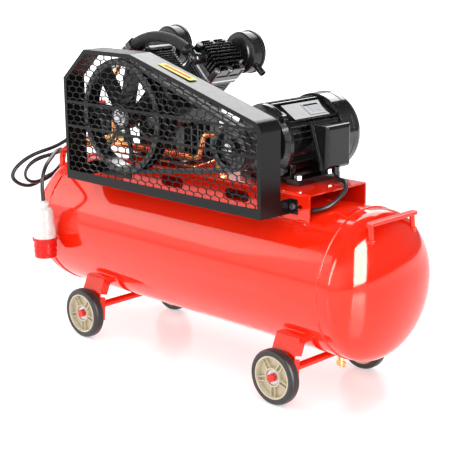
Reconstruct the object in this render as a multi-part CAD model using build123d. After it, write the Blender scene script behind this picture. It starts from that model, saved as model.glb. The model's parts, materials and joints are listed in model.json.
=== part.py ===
from build123d import *
from math import atan2, cos, degrees, hypot, pi, sin, sqrt
import os

# Wheeled belt-drive air compressor: a horizontal 100-litre receiver on four wheels, with a
# V-twin pump, an electric motor and a belt guard on the platform welded to the receiver.
# Millimetres. X runs along the receiver, the belt guard is on the -Y side and Z is up.
# While the pieces are built, X = 0 and Y = 0 are the middle of the receiver and Z = 0 is the
# floor. The export moves everything together so that X = 0, Y = 0 is the footprint's centre.

# ---- receiver ----
TANK_R = 172
TANK_Z = 276
TANK_WALL = 3
SEAM_X = 467
END_FLANGE = 24
END_DEPTH = 86
WELD_R = 2.6
HANDLE_BAR = (536, 432)
HANDLE_HOOP = (-519, 468)

# ---- platform welded on the receiver ----
PLATFORM_X = (-238, 386)
PLATFORM_HALF_Y = 98.3
PLATFORM_TOP = 479
SHEET = 4
CUTOUT_LENGTH = 80
CUTOUT_HEIGHT = 25
CUTOUT_Z = 447
CUTOUTS_X = (-55, 164)

# ---- running gear ----
WHEEL_R = 65
WHEEL_X = 338.6
TRACK_HALF = 171.5
TYRE_WIDTH = 28
HUB_R = 50.4
AXLE_R = 6
RUNNING = 0.05
BRACKET_SHEET = 3
BRACKET_Y = 136.5
CROSS_TUBE_R = 9
CROSS_TUBE_Z = 87
CROSS_TUBE_DX = 33
HUB_OUT = -TRACK_HALF + 3.5
HUB_IN = -TRACK_HALF + TYRE_WIDTH + 1.3
WASHER_SEAT = HUB_OUT + 4.8

# ---- pump ----
PUMP_X = -148.6
PUMP_Z = 605
BANK_ANGLE = 45
BANK_Y = 30
BANK_OFFSET = 7
BORE_R = 25.5
THROW = 21
ROD_L = 107
PIN_R = 12
WRIST_R = 8
JOURNAL_R = 12.5
DECK = 62
CYL_TOP = 158
PLATE_TOP = 163
HEAD_TOP = 214
BOSS_TOP = 192
HEAD_W = 100
HEAD_L = 104
CASE_R = 76
CASE_Y = (-58, 92)
SIGHT_Z = 553.5
FILLER_DX = 40
FILLER_Z = 630
PORT_DX = 125
PORT_DZ = 137
FILTER_DX = 130
FILTER_DZ = 139

# ---- air pipes ----
ELBOW_Y = -42
ARCH_SAG = 45
ARCH_HALF = 125
ARCH_R = (ARCH_HALF ** 2 + ARCH_SAG ** 2) / (2 * ARCH_SAG)
ARCH_Z = PUMP_Z + PORT_DZ + ARCH_SAG - ARCH_R
ARCH_SPAN = 29
PIPE_R = 13
TUBE_R = 6.5
TUBE_Y = -73
TUBE_Z = 509
FINS_X = (-215, -20)
FIN_R = 11
FIN_PITCH = 5
UNLOADER_Y = -84
UNLOADER_Z = 490

# ---- drive ----
FLYWHEEL_R = 138
FLYWHEEL_RIM = 15
BLADES = 7
BLADE_TWIST = 42
BLADE_START = 75
PULLEY_R = 52
DRIVE_Y = (-177, -140)
BELTS_Y = (-167.5, -149.5)
MOTOR_X = 217
MOTOR_Z = 572
SHAFT_R = 12
MOTOR_Y = (-58, 110)
FAN_COVER_R = 93
FAN_COVER_Y = (112, 178)
FOOT_DX = 74
FOOT_YS = (-28, 79)
FOOT_RAIL_Y = (-46, 97)
FOOT_H = 14

# ---- guard ----
GUARD_Y = (-199, -134.6)
GUARD_SHEET = 1.8
GUARD_POINTS = ((-335, 433), (-335, 687), (-252, 761), (-82, 761), (334, 642), (334, 433))
GUARD_ROUND = 27
LIP = 10
LIP_BOTTOM = 22
GUARD_RIBS_Z = (569, 629)
GUARD_RIB = 6
CELL_X = 27.5
CELL_Z = 14.5
STRAND = 2.1
GUARD_BOLTS = ((341, 352), (-217, -204))
GUARD_BOLT_Z = 449
GUARD_BRACKET_Z = (431, 465)

# ---- controls at the left end ----
CONTROL_X = -430
CONTROL_Z = 490
VALVE_X = 60
VALVE_Y = -40
DRAIN_X = 400
PORT_R = 10.5

# ---- cable and plug ----
CABLE_R = 5.2
PLUG_X = -427
PLUG_Y = -210
PLUG_TOP = 362
PLUG_MOUTH = 263
COLLAR_BOTTOM = 212
COIL_X = -600
COIL_PITCH = 15
COIL_INSET = 13


# ---------------------------------------------------------------- helpers

def block(x, y, z):
    """A block between pairs of limits."""
    sides = (x, y, z)
    centre = [(low + high) / 2 for low, high in sides]
    return Pos(*centre) * Box(*[high - low for low, high in sides])


def rod(start, end, radius):
    """A round bar between two points."""
    run = Vector(*end) - Vector(*start)
    return extrude(Plane(origin=start, z_dir=run) * Circle(radius), amount=run.length)


def ring(start, end, outer, inner):
    """A tube between two points."""
    return rod(start, end, outer) - rod(start, end, inner)


def hex_bar(start, end, across_flats):
    """A hexagon bar between two points."""
    run = Vector(*end) - Vector(*start)
    outline = RegularPolygon(across_flats / 2, 6, major_radius=False)
    return extrude(Plane(origin=start, z_dir=run) * outline, amount=run.length)


def turned_y(profile, x=0, z=0):
    """A solid turned about a line along Y; the profile is a list of (radius, y)."""
    face = make_face(Polyline(*profile, close=True))
    return Pos(x, 0, z) * revolve(face, Axis.Y, 360)


def turned_z(profile, x=0, y=0):
    """A solid turned about a line along Z; the profile is a list of (radius, z)."""
    face = make_face(Plane.XZ * Polyline(*profile, close=True))
    return Pos(x, y, 0) * revolve(face, Axis.Z, 360)


def bent_tube(points, radius, bend, inner=0):
    """A tube or bar that follows straight runs joined by round bends."""
    path = FilletPolyline(*points, radius=bend)
    section = Circle(radius)
    if inner:
        section -= Circle(inner)
    return sweep(Plane(origin=path @ 0, z_dir=path % 0) * section, path=path)


def cable(points, radius):
    """A flexible lead through a list of points."""
    path = Spline(*points)
    return sweep(Plane(origin=path @ 0, z_dir=path % 0) * Circle(radius), path=path)


def bolt(top, down, across_flats, head, shank_r, length):
    """A hexagon-head bolt; top is the underside of its head and down points along the shank."""
    way = Vector(*down)
    seat = Vector(*top)
    crown = seat - way * head
    tip = seat + way * length
    head_bar = hex_bar(tuple(crown), tuple(seat), across_flats)
    return head_bar + rod(tuple(seat), tuple(tip), shank_r)


def mirrored_y(shape):
    return mirror(shape, Plane.XZ)


# ---------------------------------------------------------------- receiver

def tank_cylinder(radius=TANK_R):
    return rod((-SEAM_X, 0, TANK_Z), (SEAM_X, 0, TANK_Z), radius)


def tank_shell():
    shell = tank_cylinder()
    top = TANK_Z + TANK_R
    for x, y, height in ((CONTROL_X, 0, 461), (VALVE_X, VALVE_Y, 458)):
        shell += rod((x, y, top - 20), (x, y, height), 17)
    shell += rod((DRAIN_X, 0, TANK_Z - TANK_R + 10), (DRAIN_X, 0, 98), 14)
    shell -= tank_cylinder(TANK_R - TANK_WALL)
    for x, y in ((CONTROL_X, 0), (VALVE_X, VALVE_Y)):
        shell -= rod((x, y, top - 60), (x, y, top + 30), PORT_R)
    return shell - rod((DRAIN_X, 0, 90), (DRAIN_X, 0, 140), 6.6)


def tank_end():
    knuckle = SEAM_X + END_FLANGE
    inner_r = TANK_R - TANK_WALL
    inner_depth = END_DEPTH - TANK_WALL
    outline = EllipticalCenterArc((knuckle, 0), END_DEPTH, TANK_R, 0, arc_size=90)
    outline += Polyline((knuckle, TANK_R), (SEAM_X, TANK_R), (SEAM_X, inner_r), (knuckle, inner_r))
    outline += EllipticalCenterArc((knuckle, 0), inner_depth, inner_r, 0, arc_size=90)
    outline += Line((knuckle + inner_depth, 0), (knuckle + END_DEPTH, 0))
    dome = revolve(make_face(outline), Axis.X, 360)
    bead = revolve(Pos(SEAM_X + WELD_R + 0.2, TANK_R) * Circle(WELD_R), Axis.X, 360)
    return Pos(0, 0, TANK_Z) * (dome + bead)


def tank_ends():
    end = tank_end()
    return Compound(children=[end, mirror(end, Plane.YZ)])


def machine_platform():
    x_low, x_high = PLATFORM_X
    half = PLATFORM_HALF_Y
    outer = block(PLATFORM_X, (-half, half), (TANK_Z + 80, PLATFORM_TOP))
    top_edges = outer.edges().filter_by(Axis.X).group_by(Axis.Z)[-1]
    outer = fillet(top_edges, 6)
    inner_half = half - SHEET
    inner = block((x_low - 1, x_high + 1), (-inner_half, inner_half),
                  (TANK_Z, PLATFORM_TOP - SHEET))
    plate = outer - inner - tank_cylinder()
    slot = SlotOverall(CUTOUT_LENGTH, CUTOUT_HEIGHT)
    for x in CUTOUTS_X:
        plate -= extrude(Plane((x, -150, CUTOUT_Z), (1, 0, 0), (0, 1, 0)) * slot, amount=300)
    bolt_slot = SlotOverall(34, 9)
    for x in (348, -215):
        place = Plane((x, -110, 449), (1, 0, 0), (0, 1, 0))
        plate -= extrude(place * bolt_slot, amount=20)
    for x, y in foot_points() + pump_foot_points():
        plate -= rod((x, y, PLATFORM_TOP - 10), (x, y, PLATFORM_TOP + 10), 5.5)
    return plate - rod((VALVE_X, VALVE_Y, 470), (VALVE_X, VALVE_Y, 490), 20)


def handle_right():
    """A flat bar on two short round legs that stand on the end of the receiver."""
    x, z = HANDLE_BAR
    bar = extrude(Plane((x, 0, z), (0, 1, 0), (0, 0, 1)) * SlotOverall(170, 20), amount=7)
    grip = fillet(bar.edges().group_by(Axis.Z)[-1], 2.5)
    for y in (-73, 73):
        grip += rod((x - 2, y, z + 2), (x + 3, y, z - 40), 6)
    return grip


def handle_left():
    """A round bar bent into a hoop, which the spare lead hangs on."""
    x, top = HANDLE_HOOP
    points = ((x, -72, 380), (x, -72, top), (x, 72, top), (x, 72, 380))
    return bent_tube(points, 8, 26)


def tank_handles():
    hollow = mirror(tank_end_envelope(), Plane.YZ) + tank_end_envelope()
    return Compound(children=[handle_right() - hollow, handle_left() - hollow])


def tank_end_envelope():
    knuckle = SEAM_X + END_FLANGE
    outline = EllipticalCenterArc((knuckle, 0), END_DEPTH, TANK_R, 0, arc_size=90)
    outline += Polyline((knuckle, TANK_R), (SEAM_X - 40, TANK_R), (SEAM_X - 40, 0),
                        (knuckle + END_DEPTH, 0))
    return Pos(0, 0, TANK_Z) * revolve(make_face(outline), Axis.X, 360)


# ---------------------------------------------------------------- running gear

def wheel_bracket(x):
    """The bent-sheet bracket on the -Y side at one wheel position."""
    face = BRACKET_Y
    back = face + BRACKET_SHEET
    outline = Polyline((-face, 44), (-face, 118), (-face + 24, 168), (-back + 22, 170),
                       (-back, 119), (-back, 44), close=True)
    low, high = x - 27, x + 42
    plate = extrude(Plane((low, 0, 0), (0, 1, 0), (1, 0, 0)) * make_face(outline),
                    amount=high - low)
    upper = Polyline((-back, 119), (-back + 22, 170), (-back + 44, 160), (-back + 24, 112),
                     close=True)
    lower = Polyline((-back, 46), (-back, 112), (-back + 18, 106), (-back + 14, 46), close=True)
    edge = Plane((high - BRACKET_SHEET, 0, 0), (0, 1, 0), (1, 0, 0))
    plate += extrude(edge * make_face(upper), amount=BRACKET_SHEET)
    plate += extrude(edge * make_face(lower), amount=BRACKET_SHEET)
    plate -= tank_cylinder()
    return plate - rod((x, -200, WHEEL_R), (x, 0, WHEEL_R), AXLE_R + 0.3)


def wheel_brackets():
    pieces = []
    for x in (-WHEEL_X, WHEEL_X):
        tube_x = x + CROSS_TUBE_DX
        ends = (-BRACKET_Y, BRACKET_Y)
        front = wheel_bracket(x)
        flange_gap = block((tube_x - 12, tube_x + 12), (-BRACKET_Y, -BRACKET_Y + 25),
                           (CROSS_TUBE_Z - 12, CROSS_TUBE_Z + 12))
        clear = flange_gap & rod((tube_x, -BRACKET_Y, CROSS_TUBE_Z),
                                 (tube_x, 0, CROSS_TUBE_Z), CROSS_TUBE_R)
        front -= clear
        pieces += [front, mirrored_y(front)]
        pieces.append(ring((tube_x, ends[0], CROSS_TUBE_Z), (tube_x, ends[1], CROSS_TUBE_Z),
                           CROSS_TUBE_R, CROSS_TUBE_R - 2))
    return Compound(children=pieces)


def tyre(x, side):
    out = -TRACK_HALF
    inside = out + TYRE_WIDTH
    profile = [(HUB_R, out + 0.6), (56, out), (61, out + 1.5), (64.2, out + 6), (WHEEL_R, out + 11),
               (WHEEL_R, inside - 11), (64.2, inside - 6), (61, inside - 1.5), (56, inside),
               (HUB_R, inside - 0.6)]
    body = turned_y(profile, x, WHEEL_R)
    for groove_y in (out + 10, inside - 10):
        body -= turned_y([(63.4, groove_y - 0.8), (66, groove_y - 1.2), (66, groove_y + 1.2),
                          (63.4, groove_y + 0.8)], x, WHEEL_R)
    return mirrored_y(body) if side > 0 else body


def hub(x, side):
    out = -TRACK_HALF
    inside = out + TYRE_WIDTH
    web = (out + 14, out + 18)
    profile = [(AXLE_R + RUNNING, HUB_IN), (19, HUB_IN), (21, web[1]), (44, web[1]),
               (46, inside - 1), (HUB_R, inside - 1), (HUB_R, out + 1), (47, out + 1),
               (45, web[0]), (23, web[0]), (22, HUB_OUT), (19, HUB_OUT), (18.5, WASHER_SEAT),
               (AXLE_R + RUNNING, WASHER_SEAT)]
    body = turned_y(profile, x, WHEEL_R)
    rib = block((21, 46), (HUB_OUT + 2, web[0] + 1), (4, 6.2))
    pair = rib + mirror(rib, Plane.XY)
    for step in range(5):
        body += Pos(x, 0, WHEEL_R) * Rot(0, 72 * step + 90, 0) * pair
    return mirrored_y(body) if side > 0 else body


def axle_stations():
    return [(x, side) for x in (-WHEEL_X, WHEEL_X) for side in (-1, 1)]


def axle_bolts():
    pieces = []
    for x, side in axle_stations():
        seat = WASHER_SEAT - 2.2
        piece = bolt((x, seat, WHEEL_R), (0, 1, 0), 18, 8, AXLE_R, 45)
        pieces.append(mirrored_y(piece) if side > 0 else piece)
    return Compound(children=pieces)


def axle_nuts_washers():
    pieces = []
    hole = AXLE_R + 0.02
    for x, side in axle_stations():
        outer = ring((x, WASHER_SEAT - 2.2, WHEEL_R), (x, WASHER_SEAT - 0.2, WHEEL_R), 17, hole)
        inner = ring((x, HUB_IN + 0.2, WHEEL_R), (x, -BRACKET_Y - BRACKET_SHEET, WHEEL_R), 12, hole)
        nut = hex_bar((x, -BRACKET_Y, WHEEL_R), (x, -BRACKET_Y + 10, WHEEL_R), 18)
        nut -= rod((x, -BRACKET_Y - 1, WHEEL_R), (x, -BRACKET_Y + 11, WHEEL_R), hole)
        for piece in (outer, inner, nut):
            pieces.append(mirrored_y(piece) if side > 0 else piece)
    return Compound(children=pieces)


# ---------------------------------------------------------------- drain cock

def drain_valve_body():
    body = rod((DRAIN_X, 0, 98), (DRAIN_X, 0, 108), 6.5)
    body += hex_bar((DRAIN_X, 0, 86), (DRAIN_X, 0, 98), 17)
    body += rod((DRAIN_X, 0, 78), (DRAIN_X, 0, 86), 7)
    body += rod((DRAIN_X, 0, 91), (DRAIN_X, 16, 91), 4)
    return body - rod((DRAIN_X, 0, 70), (DRAIN_X, 0, 96), 3 + RUNNING)


def drain_valve_tap():
    stem = rod((DRAIN_X, 0, 70), (DRAIN_X, 0, 93), 3)
    wings = block((DRAIN_X - 13, DRAIN_X + 13), (-1.6, 1.6), (62, 76))
    wings = fillet(wings.edges().filter_by(Axis.Y), 5)
    return stem + rod((DRAIN_X, 0, 64), (DRAIN_X, 0, 77), 5) + wings


# ---------------------------------------------------------------- pump

def pump_foot_points():
    return [(PUMP_X + dx, y) for dx in (-82, 82) for y in (-44, 76)]


def bank_place(sign, y=BANK_Y):
    """Local Z runs up the bank from the crank axis, and local X runs along world Y."""
    tilt = BANK_ANGLE * pi / 180
    return Plane((PUMP_X, y, PUMP_Z), (0, 1, 0), (sign * sin(tilt), 0, cos(tilt)))


def bore_y(sign):
    return BANK_Y - sign * BANK_OFFSET


def crankcase():
    low, high = CASE_Y
    body = rod((PUMP_X, low, PUMP_Z), (PUMP_X, high, PUMP_Z), CASE_R)
    body += block((PUMP_X - 68, PUMP_X + 68), (low, high), (PLATFORM_TOP + 8, PUMP_Z - 20))
    body += block((PUMP_X - 95, PUMP_X + 95), (low - 2, high - 1), (PLATFORM_TOP, PLATFORM_TOP + 11))
    body += rod((PUMP_X, -82, PUMP_Z), (PUMP_X, low, PUMP_Z), 37)
    for sign in (-1, 1):
        pad = Pos(0, 0, DECK / 2 + 20) * Box(84, 84, DECK - 40)
        body += bank_place(sign).location * pad
    for sign in (-1, 1):
        above_deck = Pos(0, 0, DECK + 40) * Box(200, 160, 80)
        body -= bank_place(sign).location * above_deck
    for y in range(-18, 60, 22):
        body += block((PUMP_X - 80, PUMP_X + 80), (y - 2, y + 2), (PLATFORM_TOP + 8, PUMP_Z - 34))
    body -= rod((PUMP_X, low + 10, PUMP_Z), (PUMP_X, high + 1, PUMP_Z), 64)
    body -= block((PUMP_X - 58, PUMP_X + 58), (low + 10, high - 10), (PLATFORM_TOP + 14, PUMP_Z))
    for sign in (-1, 1):
        hole = Pos(0, 0, DECK / 2 + 15) * Cylinder(30, DECK - 28)
        body -= bank_place(sign, bore_y(sign)).location * hole
    body -= rod((PUMP_X, -79, PUMP_Z), (PUMP_X, 0, PUMP_Z), 26)
    body -= rod((PUMP_X, -90, PUMP_Z), (PUMP_X, 0, PUMP_Z), 15)
    for x, y in pump_foot_points():
        body -= rod((x, y, PLATFORM_TOP - 5), (x, y, PLATFORM_TOP + 40), 5.5)
    return body


def crankcase_cover():
    back = CASE_Y[1]
    cover = turned_y([(0, back), (70, back), (70, back + 7), (66, back + 9), (36, back + 9),
                      (34, back + 20), (0, back + 20)], PUMP_X, PUMP_Z)
    cover -= rod((PUMP_X, back - 1, PUMP_Z), (PUMP_X, back + 16, PUMP_Z), 26)
    cover -= rod((PUMP_X, back, SIGHT_Z), (PUMP_X, back + 10, SIGHT_Z), 10)
    x = PUMP_X + FILLER_DX
    return cover - rod((x, back, FILLER_Z), (x, back + 12, FILLER_Z), 7)


def oil_sight_glass():
    back = CASE_Y[1]
    bezel = turned_y([(0, back + 5), (9.9, back + 5), (9.9, back + 9), (15, back + 9),
                      (15, back + 12), (10, back + 14), (0, back + 14)], PUMP_X, SIGHT_Z)
    return bezel


def oil_filler_plug():
    back = CASE_Y[1]
    x, z = PUMP_X + FILLER_DX, FILLER_Z
    plug = rod((x, back + 3, z), (x, back + 9, z), 6.9)
    plug += rod((x, back + 9, z), (x, back + 15, z), 10)
    return plug + hex_bar((x, back + 15, z), (x, back + 26, z), 14)


def cylinder(sign):
    shift = -sign * BANK_OFFSET
    core = Pos(shift, 0, (DECK + CYL_TOP) / 2) * Cylinder(34, CYL_TOP - DECK)
    core += Pos(shift, 0, DECK + 4) * Box(80, 80, 8)
    fin_plate = RectangleRounded(HEAD_L - 4, HEAD_W - 4, 24)
    height = DECK + 15
    while height < CYL_TOP - 10:
        core += Pos(0, 0, height) * extrude(fin_plate, amount=2.6)
        height += 7.2
    core += Pos(0, 0, CYL_TOP - 8) * extrude(RectangleRounded(HEAD_L, HEAD_W, 14), amount=8)
    core -= Pos(shift, 0, (DECK + CYL_TOP) / 2) * Cylinder(BORE_R, CYL_TOP - DECK + 2)
    for x, y in head_bolt_points():
        core -= Pos(x, y, CYL_TOP) * Cylinder(4.3, 24)
    return bank_place(sign).location * core


def head_bolt_points():
    return [(x, y) for x in (-42, 0, 42) for y in (-41, 41)]


def valve_plate(sign):
    plate = Pos(0, 0, CYL_TOP) * extrude(RectangleRounded(HEAD_L, HEAD_W, 14),
                                        amount=PLATE_TOP - CYL_TOP)
    for x, y in head_bolt_points():
        plate -= Pos(x, y, CYL_TOP) * Cylinder(4.3, 24)
    for x in (-14, 14):
        plate -= Pos(x, 0, CYL_TOP) * Cylinder(6, 24)
    return bank_place(sign).location * plate


def cylinder_head(sign):
    base = Pos(0, 0, PLATE_TOP) * extrude(RectangleRounded(HEAD_L, HEAD_W, 14), amount=14)
    base += Pos(0, 0, PLATE_TOP + 14) * extrude(RectangleRounded(56, 70, 10), amount=14)
    fin_y = -46
    while fin_y < 47:
        drop = 14 * (fin_y / 46) ** 2
        top = HEAD_TOP - drop
        span = HEAD_L - 4 - 10 * (fin_y / 46) ** 2
        fin = Pos(0, fin_y, (PLATE_TOP + top) / 2) * Box(span, 3.4, top - PLATE_TOP)
        base += fin
        fin_y += 9.2
    for x, y in head_bolt_points():
        base += Pos(x, y, (PLATE_TOP + BOSS_TOP) / 2) * Cylinder(8.6, BOSS_TOP - PLATE_TOP)
        base -= Pos(x, y, BOSS_TOP + 15) * Cylinder(9.4, 30)
        base -= Pos(x, y, BOSS_TOP - 10) * Cylinder(4.3, 60)
    base -= Pos(0, 0, PLATE_TOP + 5) * Box(50, 48, 10)
    head = bank_place(sign).location * base
    front = BANK_Y - HEAD_L / 2
    back = BANK_Y + HEAD_L / 2
    ex, ez = elbow_point(sign)
    fx, fz = filter_point(sign)
    head += rod((ex, front, ez), (ex, front + 24, ez), 16)
    return head + rod((fx, back - 24, fz), (fx, back, fz), 17)


def elbow_point(sign):
    return PUMP_X + sign * PORT_DX, PUMP_Z + PORT_DZ


def filter_point(sign):
    return PUMP_X + sign * FILTER_DX, PUMP_Z + FILTER_DZ


def head_bolts():
    pieces = []
    for sign in (-1, 1):
        for x, y in head_bolt_points():
            piece = bolt((x, y, BOSS_TOP), (0, 0, -1), 13, 6, 4, 40)
            pieces.append(bank_place(sign).location * piece)
    return Compound(children=pieces)


def air_filter(sign):
    x, z = filter_point(sign)
    y = BANK_Y + HEAD_L / 2
    housing = turned_y([(14, y), (14, y + 11), (37, y + 11), (39, y + 15), (48, y + 16.5),
                        (51, y + 20), (51, y + 56), (49, y + 56), (49, y + 21),
                        (47, y + 18.5), (37.6, y + 17), (35.6, y + 13), (11.5, y + 13),
                        (11.5, y)], x, z)
    angle = 40 * pi / 180
    way = Vector(sign * cos(angle), 0, -sin(angle))
    tube_y = y + 42
    start = Vector(x, tube_y, z) + way * 50
    tip = Vector(x, tube_y, z) + way * 76
    housing += rod(tuple(start - way * 0.5), tuple(tip), 8.5)
    housing -= rod(tuple(start - way * 6), tuple(tip + way), 6.5)
    lid = turned_y([(0, y + 56), (51.3, y + 56), (51.3, y + 51), (53, y + 51), (53, y + 58),
                    (50, y + 61), (34, y + 61), (31, y + 63), (0, y + 63)], x, z)
    return [housing, lid]


def air_filters():
    return Compound(children=air_filter(-1) + air_filter(1))


def filter_elements():
    y = BANK_Y + HEAD_L / 2
    pieces = []
    for sign in (-1, 1):
        x, z = filter_point(sign)
        pieces.append(ring((x, y + 22, z), (x, y + 55, z), 45, 24))
    return Compound(children=pieces)


# ---------------------------------------------------------------- air pipes

def arch_point(degrees_from_top, radius=ARCH_R):
    angle = degrees_from_top * pi / 180
    return (PUMP_X + radius * sin(angle), ELBOW_Y, ARCH_Z + radius * cos(angle))


def crossover_pipe():
    path = ThreePointArc(arch_point(-ARCH_SPAN), arch_point(0), arch_point(ARCH_SPAN))
    section = Circle(PIPE_R) - Circle(PIPE_R - 2)
    return sweep(Plane(origin=path @ 0, z_dir=path % 0) * section, path=path)


def crossover_fittings():
    pieces = []
    front = BANK_Y - HEAD_L / 2
    for sign in (-1, 1):
        ex, ez = elbow_point(sign)
        centre = (ex, ELBOW_Y, ez)
        nut_start = arch_point(sign * (ARCH_SPAN + 0.2))
        nut_end = arch_point(sign * (ARCH_SPAN + 4.8))
        nut = hex_bar(nut_start, nut_end, 32)
        collar = rod(nut_end, centre, 12)
        fitting = nut + collar + Pos(*centre) * Sphere(15)
        pieces.append(fitting + rod(centre, (ex, front, ez), 14))
    return Compound(children=pieces)


def cooling_fins():
    """A comb profile turned round the level run of the discharge tube."""
    outline = [(FINS_X[0], TUBE_R - 1)]
    x = FINS_X[0]
    while x < FINS_X[1]:
        outline += [(x, FIN_R), (x + 1, FIN_R), (x + 1, TUBE_R), (x + FIN_PITCH, TUBE_R)]
        x += FIN_PITCH
    outline.append((x, TUBE_R - 1))
    comb = revolve(make_face(Polyline(*outline, close=True)), Axis.X, 360)
    return Pos(0, TUBE_Y, TUBE_Z) * comb


def copper_pipes():
    ex, ez = elbow_point(-1)
    discharge = bent_tube([(ex - 2, ELBOW_Y - 12, ez - 14), (ex - 22, TUBE_Y, ez - 66),
                           (ex - 22, TUBE_Y, TUBE_Z), (12, TUBE_Y, TUBE_Z), (26, -66, 568),
                           (VALVE_X, VALVE_Y, 568), (VALVE_X, VALVE_Y, 536)], TUBE_R, 12)
    unloader = bent_tube([(-388, -14, 514), (-360, -60, 492), (-320, UNLOADER_Y, UNLOADER_Z),
                          (10, UNLOADER_Y, UNLOADER_Z), (34, -66, 500),
                          (VALVE_X - 16, VALVE_Y, 508)], 3, 8)
    return Compound(children=[discharge + cooling_fins(), unloader])


def check_valve():
    x, y = VALVE_X, VALVE_Y
    body = rod((x, y, 436), (x, y, 486), PORT_R - 0.1)
    body += hex_bar((x, y, 486), (x, y, 500), 27)
    body += rod((x, y, 500), (x, y, 520), 11.5)
    body += hex_bar((x, y, 520), (x, y, 535.8), 24)
    return body


# ---------------------------------------------------------------- crank train

def crankshaft():
    """Crank with its pin straight up, two webs with counterweights, and the flywheel nut."""
    pin_y = (BANK_Y - 17, BANK_Y + 17)
    parts = rod((0, DRIVE_Y[0] - 1, 0), (0, pin_y[0], 0), JOURNAL_R)
    parts += rod((0, pin_y[1], 0), (0, CASE_Y[1] + 15, 0), JOURNAL_R)
    parts += rod((0, pin_y[0] - 13, THROW), (0, pin_y[1] + 13, THROW), PIN_R)
    for low, high in ((pin_y[0] - 13, pin_y[0]), (pin_y[1], pin_y[1] + 13)):
        web = block((-19, 19), (low, high), (-20, THROW + 14))
        weight = rod((0, low, 0), (0, high, 0), 54) & block((-60, 60), (low, high), (-60, -12))
        parts += web + weight
    shaft = Pos(PUMP_X, 0, PUMP_Z) * parts
    washer = ring((PUMP_X, DRIVE_Y[0] - 0.01, PUMP_Z), (PUMP_X, DRIVE_Y[0] - 3, PUMP_Z), 20, JOURNAL_R)
    shaft += washer
    return shaft + hex_bar((PUMP_X, DRIVE_Y[0] - 3, PUMP_Z), (PUMP_X, DRIVE_Y[0] - 9, PUMP_Z), 24)


def groove(radius, y, depth=10):
    return [(radius - depth, y - 4.8), (radius + 1, y - 6.9), (radius + 1, y + 6.9),
            (radius - depth, y + 4.8)]


def flywheel():
    low, high = DRIVE_Y
    middle = (low + high) / 2
    rim_in = FLYWHEEL_R - FLYWHEEL_RIM
    wheel = ring((0, low, 0), (0, high, 0), FLYWHEEL_R, rim_in)
    wheel += ring((0, low, 0), (0, high, 0), 31, JOURNAL_R)
    blade = Pos((rim_in + 28) / 2, 0, 0) * Rot(-BLADE_TWIST, 0, 0) * Box(rim_in - 24, 38, 6)
    for step in range(BLADES):
        turn = Rot(0, 360 * step / BLADES - BLADE_START, 0)
        wheel += Pos(0, middle, 0) * turn * blade
    wheel -= ring((0, low - 40, 0), (0, low, 0), FLYWHEEL_R + 1, 1)
    wheel -= ring((0, high, 0), (0, high + 40, 0), FLYWHEEL_R + 1, 1)
    for y in BELTS_Y:
        wheel -= turned_y(groove(FLYWHEEL_R, y))
    wheel -= rod((0, low - 20, 0), (0, high + 20, 0), JOURNAL_R)
    return Pos(PUMP_X, 0, PUMP_Z) * wheel


def shaft_bearings():
    pieces = []
    for y, x, z, shaft in ((-79, PUMP_X, PUMP_Z, JOURNAL_R), (CASE_Y[1], PUMP_X, PUMP_Z, JOURNAL_R),
                           (-80, MOTOR_X, MOTOR_Z, SHAFT_R), (105, MOTOR_X, MOTOR_Z, SHAFT_R)):
        pieces.append(ring((x, y, z), (x, y + 14, z), 26, shaft + RUNNING))
    return Compound(children=pieces)


def rod_pin_distance(sign):
    """Distance from the crank axis to the wrist pin with the crank pin straight up."""
    along = THROW * cos(BANK_ANGLE * pi / 180)
    across = THROW * sin(BANK_ANGLE * pi / 180)
    return along + sqrt(ROD_L ** 2 - across ** 2)


def connecting_rod(sign):
    y = bore_y(sign)
    half = 6.4
    reach = rod_pin_distance(sign) / sqrt(2)
    big = (PUMP_X, PUMP_Z + THROW)
    small = (PUMP_X + sign * reach, PUMP_Z + reach)
    tilt = atan2(small[1] - big[1], small[0] - big[0])
    middle = ((big[0] + small[0]) / 2, (big[1] + small[1]) / 2)
    beam = Pos(middle[0], y, middle[1]) * Rot(0, -degrees(tilt), 0) * Box(ROD_L - 24, 8, 16)
    body = beam + rod((big[0], y - half, big[1]), (big[0], y + half, big[1]), 19)
    body += rod((small[0], y - half, small[1]), (small[0], y + half, small[1]), 13)
    body -= rod((big[0], y - 20, big[1]), (big[0], y + 20, big[1]), PIN_R + RUNNING)
    return body - rod((small[0], y - 20, small[1]), (small[0], y + 20, small[1]), WRIST_R + RUNNING)


def connecting_rods():
    return Compound(children=[connecting_rod(-1), connecting_rod(1)])


def piston(sign):
    """A piston and its wrist pin, built along the bank and placed at its rest height."""
    height = rod_pin_distance(sign)
    skirt = Pos(0, 0, height + 3.5) * Cylinder(BORE_R - RUNNING, 47)
    skirt -= Pos(0, 0, height) * Cylinder(20.5, 40)
    skirt -= Pos(0, 0, height - 20) * Cylinder(20.5, 20)
    for ring_z in (height + 23, height + 18):
        skirt -= Pos(0, 0, ring_z) * (Cylinder(BORE_R, 1.6) - Cylinder(BORE_R - 1.5, 1.6))
    pin = Pos(0, 0, height) * Rot(0, 90, 0) * Cylinder(WRIST_R, 46)
    place = bank_place(sign, bore_y(sign)).location
    return Compound(children=[place * (skirt - pin), place * pin])


# ---------------------------------------------------------------- motor

def foot_points():
    return [(MOTOR_X + dx, y) for dx in (-FOOT_DX, FOOT_DX) for y in FOOT_YS]


def box_plane():
    """The slanted face of the motor that carries the terminal box."""
    return Plane(origin=(313.5, 48, 563.5), x_dir=(0, 1, 0), z_dir=(97, 0, 31))


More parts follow.
